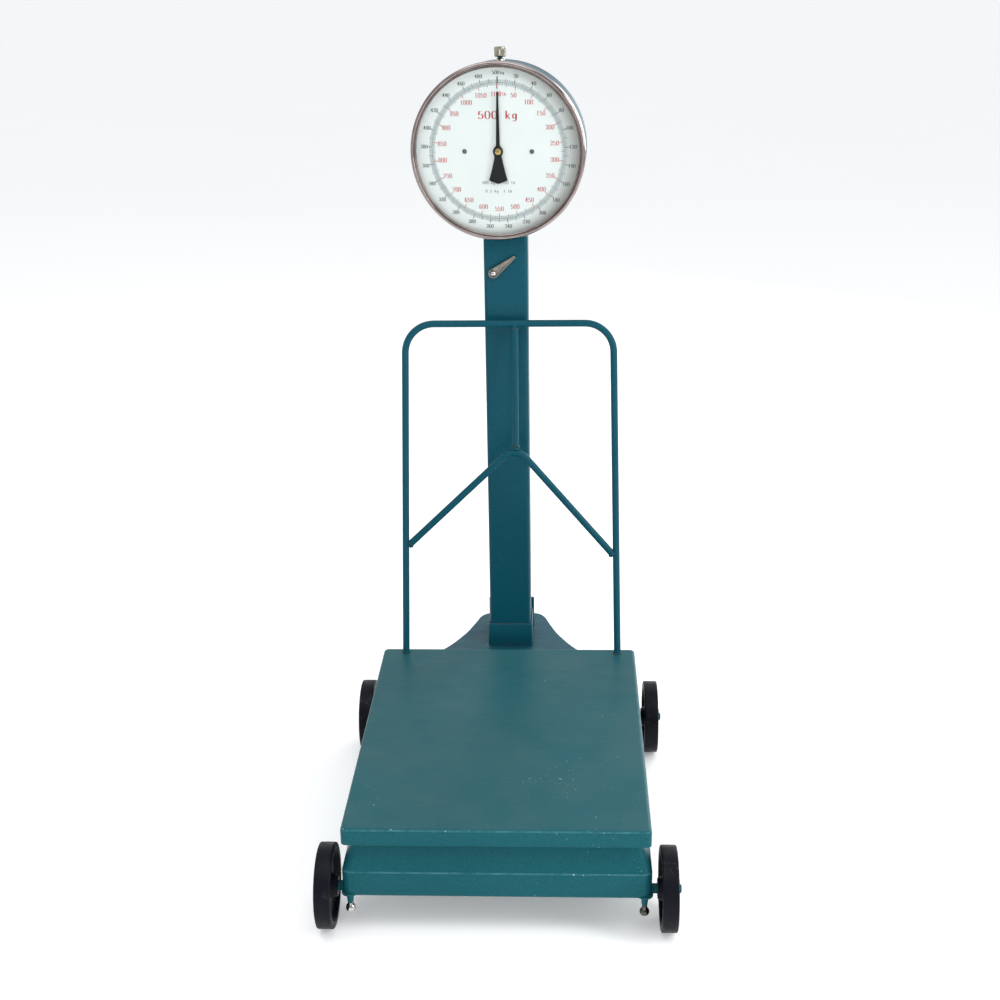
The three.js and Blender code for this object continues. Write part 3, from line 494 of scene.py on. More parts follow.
def weld_line(shape, start, end, step, radius, seed, sides=8, finish=1):
    """A straight weld bead, laid in steps."""
    start, end = Vector(start), Vector(end)
    count = max(1, round((end - start).length / step))
    path = [start.lerp(end, i / count) for i in range(count)] + [end]
    shape.tube(path, radius, sides, radii=bead(path, radius, seed), finish=finish)


CORNERS = [("front_left", -1, -1), ("front_right", 1, -1), ("rear_left", -1, 1), ("rear_right", 1, 1)]


# ---- deck ----
def make_deck():
    shape = Shape()
    skin, dip = 3.2, 0.45

    def ring(z, inset, radius):
        outline = rounded(DECK_HALF_X - inset, DECK_HALF_Y - inset, radius, 7, 9)
        return at_level(outline, z)

    top = DECK_TOP
    under = top - skin
    lip = LIP_BOTTOM + 0.6
    middle_inset = DECK_HALF_X - 5
    rings = [
        ring(lip, 0, 8), ring(top - 5, 0, 8), ring(top - 3.4, 0.35, 7.8), ring(top - 2, 1, 7.4),
        ring(top - 0.9, 2.1, 7), ring(top - 0.25, 3.5, 6.6), ring(top, 5.2, 6),
    ]
    for inset in (9, 16, 30, 55, 90, 130, 175, 210):
        rings.append(ring(top, inset, max(1.5, 6 - inset / 10)))
    rings.append(ring(top, middle_inset, 1))
    inner = [
        ring(under, middle_inset, 1), ring(under, 12, 6), ring(under - 2, skin + 0.6, 6),
        ring(under - 5, skin, 6), ring(lip, skin, 6), ring(LIP_BOTTOM, skin - 0.7, 7),
        ring(LIP_BOTTOM, 0.7, 7),
    ]
    shape.loft(rings, caps=False)
    shape.loft(inner + [rings[0]], caps=False)
    shape.cap(rings[-1])
    shape.cap(inner[0])
    # the sheet dips a little inside its rim, evenly along its middle and in waves elsewhere
    for point in shape.points:
        if point.z > top - 1.0:
            edge = min(1.0, (DECK_HALF_X - abs(point.x)) / 40, (DECK_HALF_Y - abs(point.y)) / 40)
            calm = min(1.0, max(0.0, abs(point.x) - 15, abs(point.y) - 95) / 60)
            wave = noise.noise(Vector((point.x / 130, point.y / 150, 3.1)))
            point.z -= dip * max(edge, 0) * (1 + calm * wave)
    piece = shape.object("deck_plate", WORN_ENAMEL, BODY, "platform", 40)
    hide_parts("deck")


# ---- base ----
def make_base():
    high = box_mm("base_frame")[1]
    half_x, half_y = high.x, high.y
    top = high.z
    bottom, crease = 63.0, 103.0
    boss_y, boss_half = 266, 12
    stud_x, stud_y = 217, 283
    shape = Shape()

    def ring(z, inset, radius=13.0):
        return at_level(rounded(half_x - inset, half_y - inset, radius, 8, 7), z)

    outside = [ring(bottom, 3.2, 11), ring(bottom + 0.9, 1.4, 12), ring(bottom + 2.6, 0.4),
               ring(bottom + 5, 0)]
    shoulder = ((-1.5, 0), (0.4, 0.5), (2, 1.5), (9, 4.7), (19, 8.4), (29, 11.6), (38, 14.3))
    outside += [ring(crease + rise, inset) for rise, inset in shoulder]
    outside += [ring(top - 1.2, 16.5, 11), ring(top, 17.4, 10.5)]
    inside = [ring(top, 19.6, 9), ring(top - 1.2, 20.4, 9), ring(crease + 20, 12.6, 10),
              ring(crease, 4.2, 10), ring(bottom + 4, 4, 10), ring(bottom, 5, 9)]
    shape.loft(outside + inside, wrap=True)
    for sy in (-1, 1):
        y = sorted((sy * 222, sy * 256))
        shape.box((-half_x + 3, half_x - 3), y, (bottom, 75), 1.5)
    for _, sx, sy in CORNERS:
        x = sorted((sx * 209, sx * (half_x - 2.6)))
        y = sorted((sy * (boss_y - boss_half), sy * (boss_y + boss_half)))
        shape.box(x, y, (52, 86), 2.5)
        profile = [(2.6, 46.5), (3.9, 46.5), (4.3, 47.2), (5.0, 54), (6.0, 59), (8.5, 62),
                   (12.5, 63.6), (12.5, 66), (2.6, 66)]
        shape.lathe(profile, 24, "Z", (sx * stud_x, sy * stud_y, 0), wrap=True)
    piece = shape.object("base_shell", WORN_ENAMEL, BODY, "frame", 30)
    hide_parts("base_frame")


NECK_FRONT, NECK_BACK = 293.3, 533
NECK_KNOTS = ((204, NECK_FRONT), (163, 331), (123, 369), (90, 430), (72, 481), (61, 515), (43, 530),
              (0, NECK_BACK))
NECK_STEPS = 44


def bell_points(inset):
    """The neck's outline seen from above, moved inwards: a curve through its knots, mirrored."""
    knots = [Vector(k) for k in NECK_KNOTS]
    half = []
    for i in range(NECK_STEPS + 1):
        place = i / NECK_STEPS * (len(knots) - 1)
        k = min(int(place), len(knots) - 2)
        t = place - k
        p0, p1 = knots[max(k - 1, 0)], knots[k]
        p2, p3 = knots[k + 1], knots[min(k + 2, len(knots) - 1)]
        a = (p2 - p0) * 0.5
        b = (p3 - p1) * 0.5
        point = (2 * t**3 - 3 * t**2 + 1) * p1 + (t**3 - 2 * t**2 + t) * a
        point += (-2 * t**3 + 3 * t**2) * p2 + (t**3 - t**2) * b
        slope = (6 * t**2 - 6 * t) * p1 + (3 * t**2 - 4 * t + 1) * a
        slope += (-6 * t**2 + 6 * t) * p2 + (3 * t**2 - 2 * t) * b
        slope.normalize()
        half.append(Vector((point.x - slope.y * inset, point.y + slope.x * inset)))
    half[0].y = NECK_FRONT + inset
    half[-1] = Vector((0, NECK_BACK - inset))
    return half + [Vector((-p.x, p.y)) for p in reversed(half[:-1])]


def make_neck():
    low, high = box_mm("neck")
    top, bottom = high.z, low.z
    shape = Shape()
    outer_levels = ((bottom, 0.8), (bottom + 1, 0), (top - 3, 0), (top - 1.6, 0.5),
                    (top - 0.5, 1.7), (top, 3.4))
    inner_levels = ((bottom, 4.2), (bottom + 1, 5), (top - 6, 5))
    outside = [at_level(bell_points(inset), z) for z, inset in outer_levels]
    inside = [at_level(bell_points(inset), z) for z, inset in inner_levels]
    shape.loft(outside, caps=False)
    shape.loft([outside[0]] + inside, caps=False)
    shape.cap(outside[-1])
    shape.cap(inside[-1])
    weld_line(shape, (-192, 291.5, 131.5), (192, 291.5, 131.5), 5, 2.2, 4.0, finish=0)
    piece = shape.object("neck_shell", ENAMEL, BODY, "frame", 32)
    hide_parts("neck")


def make_socket():
    low, high = box_mm("column_socket")
    floor, rear_top = low.z, high.z
    front_top = 191.0
    shape = Shape()
    half_y = (COLUMN_BACK - COLUMN_FRONT) / 2

    def sleeve(z, wall):
        outline = rounded(COLUMN_HALF + wall, half_y + 1.2 + wall, 4, 6)
        return at_level(outline, z, COLUMN_Y - 0.5)

    def bore(z):
        return at_level(rounded(COLUMN_HALF + 0.3, half_y + 0.3, 6.5, 6), z, COLUMN_Y)

    shape.loft([sleeve(floor, 3), sleeve(front_top - 2, 3), sleeve(front_top - 0.6, 2.6),
                sleeve(front_top, 1.6), bore(front_top - 0.6), bore(floor)], wrap=True)
    rear = COLUMN_BACK + 3
    shape.box((-COLUMN_HALF - 5, COLUMN_HALF + 5), (rear, rear + 6), (floor, rear_top), 1.2)
    x, y, z = COLUMN_HALF - 1, COLUMN_FRONT - 1.2, front_top - 0.4
    weld_line(shape, (-x, y, z), (x, y, z), 3, 1.6, 1.0, sides=10)
    x, y, z = COLUMN_HALF + 2, COLUMN_FRONT - 4.2, floor + 1.2
    weld_line(shape, (-x, y, z), (x, y, z), 4, 0.75, 2.0)
    for side in (-1, 1):
        x, z = side * (COLUMN_HALF + 2.6), floor + 1.0
        weld_line(shape, (x, COLUMN_FRONT, z), (x, rear, z), 4, 0.9, 3.0 + side)
    piece = shape.object("socket_sleeve", [ENAMEL, WELD_ENAMEL], BODY, "frame", 32)
    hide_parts("column_socket")


def make_column():
    low, high = box_mm("column")
    half_y = (COLUMN_BACK - COLUMN_FRONT) / 2
    shape = Shape()

    def ring(z, inset, radius):
        return at_level(rounded(COLUMN_HALF - inset, half_y - inset, radius, 10), z, COLUMN_Y)

    levels = [low.z + (high.z - 1 - low.z) * i / 14 for i in range(15)]
    rings = [ring(z, 0, 7) for z in levels] + [ring(high.z, 0.6, 6.4)]
    rings += [ring(high.z, 2.6, 4.6), ring(high.z - 1, 3, 4), ring(low.z, 3, 4)]
    shape.loft(rings, wrap=True)
    piece = shape.object("column_tube", ENAMEL, BODY, "frame", 32)
    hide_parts("column")


# ---- guard rail ----
RAIL_X, RAIL_Y = 5.0, 284.0
RAIL_LEAN, RAIL_NARROWING, RAIL_R = 0.1465, 0.0183, 6.0
# heights over the deck, along the bars' middles
RAIL_FOOT, RAIL_TOP = 1.0, box_mm("rail_hoop")[1].z - DECK_TOP - RAIL_R
BRACE_LEFT, BRACE_RIGHT, BRACE_APEX = 190, 172, 371
STRUT_FOOT = 365
RAIL_NORMAL = Vector((0, -1, RAIL_LEAN)).normalized()


def on_rail(across, height):
    return Vector((RAIL_X + across, RAIL_Y + RAIL_LEAN * height, DECK_TOP + height))


def rail_half(height):
    return 189 - RAIL_NARROWING * height


def on_hoop(side, height):
    return on_rail(side * rail_half(height), height)


def bend(before, corner, after, radius, steps):
    """An arc that rounds off a corner between two straight runs."""
    inward = (before - corner).normalized()
    outward = (after - corner).normalized()
    half = inward.angle(outward) / 2
    centre = corner + (inward + outward).normalized() * radius / math.sin(half)
    start = (corner + inward * radius / math.tan(half) - centre).normalized()
    end = (corner + outward * radius / math.tan(half) - centre).normalized()
    turn = start.angle(end)
    points = []
    for i in range(steps + 1):
        share = turn * i / steps
        point = start * math.sin(turn - share) + end * math.sin(share)
        points.append(centre + point * radius / math.sin(turn))
    return points


def weld_ring(shape, centre, direction, seed, radius, thick, level=None):
    """A weld bead round a bar that meets another one or, at a level, the flat deck."""
    direction = Vector(direction).normalized()
    side = direction.cross(RAIL_NORMAL).normalized()
    path = []
    for i in range(28):
        angle = 2 * math.pi * i / 28
        wobble = 0.35 * noise.noise(Vector((math.cos(angle) * 2, math.sin(angle) * 2, seed)))
        out = side * math.cos(angle) + RAIL_NORMAL * math.sin(angle)
        # the bead follows the bar it is laid against, which drops away to the sides
        drop = 2.6 * math.sin(angle) ** 2
        path.append(centre + out * (radius - 0.9 + wobble) + direction * -drop)
    radii = bead(path, thick, seed, 0.45)
    if level:
        path = [Vector((p.x, p.y, level)) for p in path]
    shape.tube(path, thick, 8, closed=True, radii=radii, finish=1)


def make_rail():
    low, high = on_hoop(-1, RAIL_FOOT), on_hoop(-1, RAIL_TOP)
    right_low, right_high = on_hoop(1, RAIL_FOOT), on_hoop(1, RAIL_TOP)
    path = [low.lerp(high, i / 12) for i in range(11)]
    path += bend(low, high, right_high, 50, 14)
    path += bend(high, right_high, right_low, 50, 14)
    path += [right_high.lerp(right_low, i / 12) for i in range(2, 13)]
    hoop = Shape()
    hoop.tube(path, RAIL_R, 24)
    for side in (-1, 1):
        foot = on_rail(side * rail_half(2), 1.6)
        weld_ring(hoop, foot, (0, RAIL_LEAN, 1), 5.0 + side, 7.2, 1.3, DECK_TOP + 0.7)
    piece = hoop.object("rail_hoop_bar", [ENAMEL, WELD_ENAMEL], BODY, "platform", 50)
    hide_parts("rail_hoop")

    across = middle_mm("rail_strut").x - RAIL_X
    apex = on_rail(across, BRACE_APEX)
    left = on_hoop(-1, BRACE_LEFT)
    left = left.lerp(apex, 5 / (apex.x - left.x))
    right = on_hoop(1, BRACE_RIGHT)
    right = right.lerp(apex, 5 / (right.x - apex.x))
    path = [left.lerp(apex, i / 10) for i in range(9)] + bend(left, apex, right, 28, 12)
    path += [apex.lerp(right, i / 10) for i in range(2, 11)]
    brace = Shape()
    brace.tube(path, RAIL_R, 24)
    for side, end in ((-1, left), (1, right)):
        inward = (apex - end).normalized()
        weld_ring(brace, end + inward * 3.4, -inward, 9.0 + side, 6.9, 1.6)
    piece = brace.object("rail_brace_bar", [ENAMEL, WELD_ENAMEL], BODY, "platform", 50)
    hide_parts("rail_brace")

    bottom = on_rail(across, STRUT_FOOT)
    top = on_rail(across, RAIL_TOP - 2)
    strut = Shape()
    strut.tube([bottom.lerp(top, i / 8) for i in range(9)], RAIL_R, 24)
    up = (top - bottom).normalized()
    for end, direction, seed in ((bottom + up * 4.6, -up, 12.0), (top - up * 4.6, up, 14.0)):
        weld_ring(strut, end, direction, seed, 6.9, 1.7)
    piece = strut.object("rail_strut_bar", [ENAMEL, WELD_ENAMEL], BODY, "platform", 50)
    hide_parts("rail_strut")


# ---- axles, wheels, pins and feet ----
def make_axles():
    for name in ("front_axle", "rear_axle"):
        half = box_mm(name)[1].x
        shape = Shape()
        profile = [(0, -half), (4.6, -half), (6.2, -half + 0.7), (7.1, -half + 2), (7.5, -half + 4)]
        profile += [(7.5, x) for x in (-180, -90, 0, 90, 180)]
        profile += [(r, -x) for r, x in reversed(profile[:5])]
        shape.lathe(profile, 28, "X", middle_mm(name))
        piece = shape.object(name + "_bar", WORN_ENAMEL, BODY, "frame", 40)
        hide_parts(name)


WHEEL_RADIUS, WHEEL_HALF = 63.5, 12


def wheel_profile():
    """Radius and place across the wheel; the hub's long side is towards the scale."""
    rim = [(19.5, 5.2), (22.5, 4), (46, 4), (49, 4.8), (51.5, 7.6), (52.6, 11), (53.6, WHEEL_HALF),
           (61.4, WHEEL_HALF), (62.7, 11.6), (63.3, 10.7), (WHEEL_RADIUS, 9.6), (WHEEL_RADIUS, 4.8)]
    short_hub = [(7.9, 11.6), (8.6, WHEEL_HALF), (15.8, WHEEL_HALF), (16.7, 11.4), (17.6, 8.4)]
    long_hub = [(17.8, -8.4), (16.8, -13), (15.6, -16), (14.8, -16.5), (8.6, -16.5), (7.9, -16)]
    far_rim = [(radius, -x) for radius, x in reversed(rim)]
    return short_hub + rim + [(WHEEL_RADIUS, 0)] + far_rim + long_hub


def make_wheels():
    for index, (corner, sx, _) in enumerate(CORNERS):
        node = "wheel_" + corner
        low, high = box_mm(node)
        outer = high.x if sx > 0 else low.x
        centre = Vector((outer - sx * WHEEL_HALF, (low.y + high.y) / 2, (low.z + high.z) / 2))
        shape = Shape()
        shape.lathe([(r, sx * x) for r, x in wheel_profile()], 96, "X", (0, 0, 0), wrap=True)
        for point in shape.points:
            around = Vector((0, point.y, point.z))
            if around.length > 60:
                # a cast and painted tread is never quite true
                seed = Vector((point.x * 0.05, point.y * 0.05, point.z * 0.05 + 7 * index))
                shrink = 0.28 * (noise.noise(seed) * 0.5 + 0.5)
                scale = (around.length - shrink) / around.length
                point.y *= scale
                point.z *= scale
        # the lowest point still stands on the floor
        lift = centre.z + min(p.z for p in shape.points)
        shape.points = [Vector((p.x, p.y, p.z - lift)) + centre for p in shape.points]
        piece = shape.object(node + "_casting", WHEEL_IRON, BODY, node, 28)
        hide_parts(node)


def make_pins():
    wire, eye_radius, eye_height, eye_gap = 0.62, 2.2, 11.5, 0.9
    bent_end = ((1.3, -10.4), (2.6, -12.2), (4.4, -13.6), (5.6, -14.3))
    for corner, sx, _ in CORNERS:
        centre = middle_mm("cotter_pin_" + corner) + Vector((0, 0, 0.5))
        shape = Shape()
        eye = []
        for i in range(17):
            angle = eye_gap / 2 + i * (2 * math.pi - eye_gap) / 16
            z = eye_height - eye_radius * math.cos(angle)
            eye.append(Vector((0, eye_radius * math.sin(angle), z)))
        for leg, end, spread in ((1, eye[0], 1.0), (-1, eye[-1], 0.75)):
            path = [end] + [Vector((0, leg * y, z)) for y, z in ((wire, 8.2), (0.6, 0), (wire, -8.5))]
            path += [Vector((0, leg * y * spread, z)) for y, z in bent_end]
            shape.tube(path, wire, 10)
        shape.tube(eye, wire, 10)
        shape.points = [p + centre for p in shape.points]
        piece = shape.object("split_pin_" + corner, STEEL, BODY, "frame", 50)
        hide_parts("cotter_pin_" + corner)

        wheel_low, wheel_high = box_mm("wheel_" + corner)
        face = wheel_high.x if sx > 0 else wheel_low.x
        ring = Shape()
        profile = [(7.7, 0.3), (12.6, 0.3), (13.2, 0.7), (13.2, 1.9), (12.6, 2.3), (7.7, 2.3)]
        axle_centre = (face, centre.y, WHEEL_RADIUS)
        ring.lathe([(r, sx * x) for r, x in profile], 40, "X", axle_centre, wrap=True)
        piece = ring.object("washer_" + corner, STEEL, BODY, "frame", 30)


def make_feet():
    flat_ball = [(0, 0), (3.4, 0.2), (5.6, 1.4), (6.9, 3.4), (7.3, 5.8), (7.0, 8.4), (5.6, 10.4),
                 (4.6, 11)]
    full_ball = [(0, 0), (2.6, 0.3), (4.9, 1.5), (6.6, 3.7), (7.4, 6.5), (7.4, 8.8), (6.6, 11.5),
                 (4.9, 13.8)]
    for corner, _, _ in CORNERS:
        node = "foot_" + corner
        low, high = box_mm(node)
        centre = ((low.x + high.x) / 2, (low.y + high.y) / 2, low.z)
        shape = Shape()
        ball = flat_ball if corner == "front_right" else full_ball
        collar = [(3.9, 14.7), (3.5, 15.0), (3.5, 16.3), (3.1, 16.6), (2.4, 16.7)]
        thread = []
        for i in range(34):
            thread += [(2.48, 17 + i), (2.1, 17.5 + i)]
        profile = ball + collar + thread + [(1.9, 51), (0, 51)]
        shape.lathe(profile, 28, "Z", centre)
        finish = DULL_CHROME if corner == "front_right" else CHROME
        piece = shape.object(node + "_ball", finish, BODY, node, 40)
        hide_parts(node)


# ---- head ----
def make_drum():
    low, high = box_mm("drum")
    radius = (high.z - low.z) / 2
    front, back = -50.7, 42.0
    shape = Shape()
    wall, screw_circle = 2, 112
    # depths behind the drum's back, at radii and then at distances from its rim
    panel = ((0, 0.9), (60, 0.9), (64, 0.8), (68, 0.3), (71, 0), (75, 0), (78, 0.3), (81, 0.6))
    rim = ((14, 0.6), (11, 0.3), (9, 0), (6, 0), (3, 0.5), (1.1, 1.9), (0.2, 4), (0, 6))
    profile = [(place, back - depth) for place, depth in panel]
    profile += [(radius - inset, back - depth) for inset, depth in rim]
    profile += [(radius, y) for y in (20, 0, -25, front)]
    profile += [(radius - wall, y) for y in (front, 20, back - 6)]
    profile += [(radius - 6, back - wall), (0, back - wall)]
    shape.lathe(profile, 128, "Y")
    screw = ((0, 0), (2.2, 0.06), (3.6, 0.3), (4.3, 0.7), (4.3, 1.2), (0, 1.2))
    for angle in (45, 135, 225, 315):
        x = screw_circle * math.cos(math.radians(angle))
        z = screw_circle * math.sin(math.radians(angle))
        head = [(place, back - depth) for place, depth in screw]
        shape.lathe(head, 20, "Y", (x, 0, z), finish=1)
    piece = shape.object("drum_shell", [ENAMEL, STEEL], DIAL, "frame", 30)
    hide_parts("drum")


def make_bezel():
    low, high = box_mm("bezel")
    radius = (high.z - low.z) / 2
    front = -58.0
    shape = Shape()
    # distances in from the rim, and depths behind the front: the skirt, the bead and the lip
    skirt = ((3.4, 16.5), (0.8, 16.5), (0.2, 15.6), (0.6, 14), (0.9, 10), (0.8, 7), (0.2, 5.4))
    rounding = ((0, 4), (0.2, 2.7), (0.9, 1.3), (2.1, 0.4), (3.6, 0), (4.8, 0.15), (5.6, 0.7),
                (5.9, 1.5))
    lip = ((6.4, 2.4), (7.0, 2.5), (7.5, 1.6), (8.2, 0.8), (9.1, 0.75), (9.8, 1.4), (10.0, 2.4),
           (10.0, 3.6), (3.4, 3.6))
    profile = [(radius - inset, front + depth) for inset, depth in skirt + rounding + lip]
    shape.lathe(profile, 160, "Y", wrap=True)
    piece = shape.object("bezel_ring", BEZEL_CHROME, DIAL, "frame", 38)
    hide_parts("bezel")


def make_glass():
    shape = Shape()
    front, back, radius, bevel = -54, -51, 139.9, 0.5
    profile = [(0, front), (radius - bevel, front), (radius, front + 0.4), (radius, back - 0.4),
               (radius - bevel, back), (0, back)]
    shape.lathe(profile, 96, "Y")
    piece = shape.object("window_pane", GLASS, DIAL, "frame", 30)
    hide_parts("dial_glass")


def circle_points(radius, y, sides):
    angles = [2 * math.pi * i / sides for i in range(sides)]
    return [Vector((radius * math.cos(a), y, radius * math.sin(a))) for a in angles]


def window_wall_paint():
    finish = Finish("window_wall_paint", (0.3, 0.29, 0.27), 0.5, level=0.3)
    cloud = finish.cloud((30, 4), 0.3, 0.7)
    finish.colour(finish.mix(cloud, (0.36, 0.37, 0.36), (0.27, 0.25, 0.22)))
    finish.bump((finish.noise(600, 2), 0.00001))
    return finish.material


def make_dial_plate():
    shape = Shape()
    plate = [(5, FACE), (138.4, FACE), (138.9, -43.6), (138.9, -42.5), (5, -42.5)]
    shape.lathe(plate, 120, "Y", wrap=True)
    # the inside wall between the plate and the glass
    wall = [(139.2, -44.2), (139.2, -51), (138.2, -51), (137.2, -50.2), (137.2, -44.2)]
    shape.lathe(wall, 120, "Y", wrap=True, finish=1)
    piece = shape.object("dial_disc", [DIAL_PAINT, window_wall_paint()], DIAL, "frame", 30)
    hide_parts("dial_plate")


# Strokes of figures on a 1 by 1 box. A pen with a broad vertical stroke draws them.
GLYPHS = {
    "0": [[(0.5, 1), (0.2, 0.86), (0.12, 0.5), (0.2, 0.14), (0.5, 0), (0.8, 0.14), (0.88, 0.5),
           (0.8, 0.86), (0.5, 1)]],
    "1": [[(0.24, 0.84), (0.42, 0.92), (0.5, 1.0)], [(0.5, 1), (0.5, 0.02)],
          [(0.24, 0.02), (0.78, 0.02)]],
    "2": [[(0.17, 0.74), (0.24, 0.93), (0.5, 1), (0.77, 0.9), (0.82, 0.7), (0.66, 0.45),
           (0.36, 0.2), (0.14, 0.03)], [(0.14, 0.03), (0.88, 0.03)], [(0.88, 0.03), (0.9, 0.22)]],
    "3": [[(0.17, 0.82), (0.28, 0.96), (0.52, 1), (0.76, 0.9), (0.78, 0.7), (0.64, 0.57), (0.42, 0.53)],
          [(0.42, 0.53), (0.7, 0.49), (0.86, 0.28), (0.76, 0.08), (0.5, 0), (0.24, 0.05), (0.13, 0.2)]],
    "4": [[(0.62, 1), (0.34, 0.62), (0.06, 0.29)], [(0.06, 0.29), (0.94, 0.29)], [(0.66, 1), (0.66, 0.02)],
          [(0.46, 0.02), (0.86, 0.02)]],
    "5": [[(0.24, 0.97), (0.8, 0.97)], [(0.24, 0.97), (0.19, 0.53)],
          [(0.19, 0.53), (0.36, 0.62), (0.6, 0.61), (0.82, 0.48), (0.86, 0.26), (0.72, 0.07),
           (0.46, 0), (0.22, 0.06), (0.13, 0.2)]],
    "6": [[(0.82, 0.86), (0.7, 0.98), (0.48, 0.98), (0.24, 0.78), (0.13, 0.42), (0.22, 0.1),
           (0.5, 0), (0.78, 0.09), (0.86, 0.3), (0.76, 0.52), (0.52, 0.6), (0.27, 0.52),
           (0.14, 0.34)]],
    "7": [[(0.12, 0.8), (0.15, 0.96)], [(0.13, 0.96), (0.88, 0.96)],
          [(0.88, 0.96), (0.6, 0.55), (0.44, 0.01)]],
    "8": [[(0.5, 1), (0.26, 0.92), (0.2, 0.77), (0.3, 0.6), (0.5, 0.53), (0.7, 0.6), (0.8, 0.77),
           (0.74, 0.92), (0.5, 1)],
          [(0.5, 0.53), (0.23, 0.42), (0.13, 0.25), (0.22, 0.07), (0.5, 0), (0.78, 0.07),
           (0.87, 0.25), (0.77, 0.42), (0.5, 0.53)]],
    "9": [[(0.18, 0.14), (0.3, 0.02), (0.52, 0.02), (0.76, 0.22), (0.87, 0.58), (0.78, 0.9),
           (0.5, 1), (0.22, 0.91), (0.14, 0.7), (0.24, 0.48), (0.48, 0.4), (0.73, 0.48),
           (0.86, 0.66)]],
    "k": [[(0.2, 1.05), (0.2, 0)], [(0.76, 0.62), (0.2, 0.26)], [(0.38, 0.38), (0.8, 0)]],
    "g": [[(0.72, 0.34), (0.62, 0.58), (0.4, 0.64), (0.2, 0.52), (0.16, 0.34), (0.24, 0.12),
           (0.42, 0.06), (0.62, 0.14), (0.72, 0.34)],
          [(0.72, 0.62), (0.72, 0.0), (0.6, -0.24), (0.36, -0.3), (0.18, -0.2)]],
    "l": [[(0.4, 1.05), (0.4, 0)], [(0.2, 0.01), (0.6, 0.01)]],
    "b": [[(0.2, 1.05), (0.2, 0.02)],
          [(0.2, 0.34), (0.3, 0.58), (0.54, 0.64), (0.76, 0.5), (0.8, 0.3), (0.7, 0.1),
           (0.46, 0.0), (0.24, 0.12), (0.2, 0.34)]],
    ".": [[(0.4, 0.0), (0.4, 0.12)]],
}


def smooth_line(knots, steps=5):
    """A curve through the knots. A line that ends where it starts is smooth there too."""
    knots = [Vector(k) for k in knots]
    if len(knots) < 3:
        return knots
    closed = (knots[0] - knots[-1]).length < SAME_POINT
    line = []
    for k in range(len(knots) - 1):
        p0, p1 = knots[max(k - 1, 0)], knots[k]
        p2, p3 = knots[k + 1], knots[min(k + 2, len(knots) - 1)]
        if k == 0 and closed:
            p0 = knots[-2]
        if k == len(knots) - 2 and closed:
            p3 = knots[1]
        for i in range(steps):
            t = i / steps
            line.append(0.5 * (2 * p1 + (p2 - p0) * t + (2 * p0 - 5 * p1 + 4 * p2 - p3) * t * t
                               + (3 * p1 - p0 - 3 * p2 + p3) * t**3))
    return line + [knots[-1]]


FIGURE_LIFT, TICK_LIFT = 0.12, 0.1  # how far the ink stands out from the dial
THIN_STROKE = 0.022  # half the width of a level stroke, for a figure's height of 1


def write(shape, text, x, z, height, finish, width=0.56, weight=0.11):
    """Upright figures centred on a place on the dial's face."""
    advance = height * width * 1.16
    start = x - advance * (len(text) - 1) / 2
    for place, letter in enumerate(text):
        left = start + place * advance - height * width / 2
        for knots in GLYPHS.get(letter, []):
            line = []
            for p in smooth_line(knots):
                line.append(Vector((left + p.x * height * width, z - height / 2 + p.y * height)))
            points = []
            for i, point in enumerate(line):
                before, after = line[max(i - 1, 0)], line[min(i + 1, len(line) - 1)]
                way = (after - before).normalized()
                half = height * (THIN_STROKE + (weight / 2) * abs(way.y) ** 1.5)
                side = Vector((-way.y, way.x)) * half
                for edge in (point - side, point + side):
                    points.append((edge.x, FACE - FIGURE_LIFT, edge.y))
            faces = [[2 * i, 2 * i + 1, 2 * i + 3, 2 * i + 2] for i in range(len(line) - 1)]
            shape.add(points, faces, finish)


def tick(shape, degrees, low, high, width, finish):
    angle = math.radians(degrees)
    out = Vector((math.sin(angle), 0, math.cos(angle)))
    side = Vector((math.cos(angle), 0, -math.sin(angle))) * width / 2
    lift = Vector((0, FACE - TICK_LIFT, 0))
    points = [out * low - side, out * low + side, out * high + side, out * high - side]
    shape.add([p + lift for p in points], [[0, 1, 2, 3]], finish)


def flat_ring(shape, low, high, lift, finish, sides=144):
    inner = circle_points(low, FACE - lift, sides)
    outer = circle_points(high, FACE - lift, sides)
    shape.loft([inner, outer], caps=False, finish=finish)


POUND = 0.45359237  # kilograms
CAPACITY = 500.0  # kilograms in a full turn
DARK, RED, GREY = 0, 1, 2  # inks
RING_INNER, RING_OUTER = 110.4, 110.8  # the line between the two scales
KILO_FIGURES, POUND_FIGURES = 124.3, 94.5  # radii


def dial_degrees(kilos):
    return 360.0 * kilos / CAPACITY


def write_round(shape, text, degrees, radius, height, finish, width, weight=0.11):
    angle = math.radians(degrees)
    place = radius * math.sin(angle), radius * math.cos(angle)
    write(shape, text, *place, height, finish, width, weight)


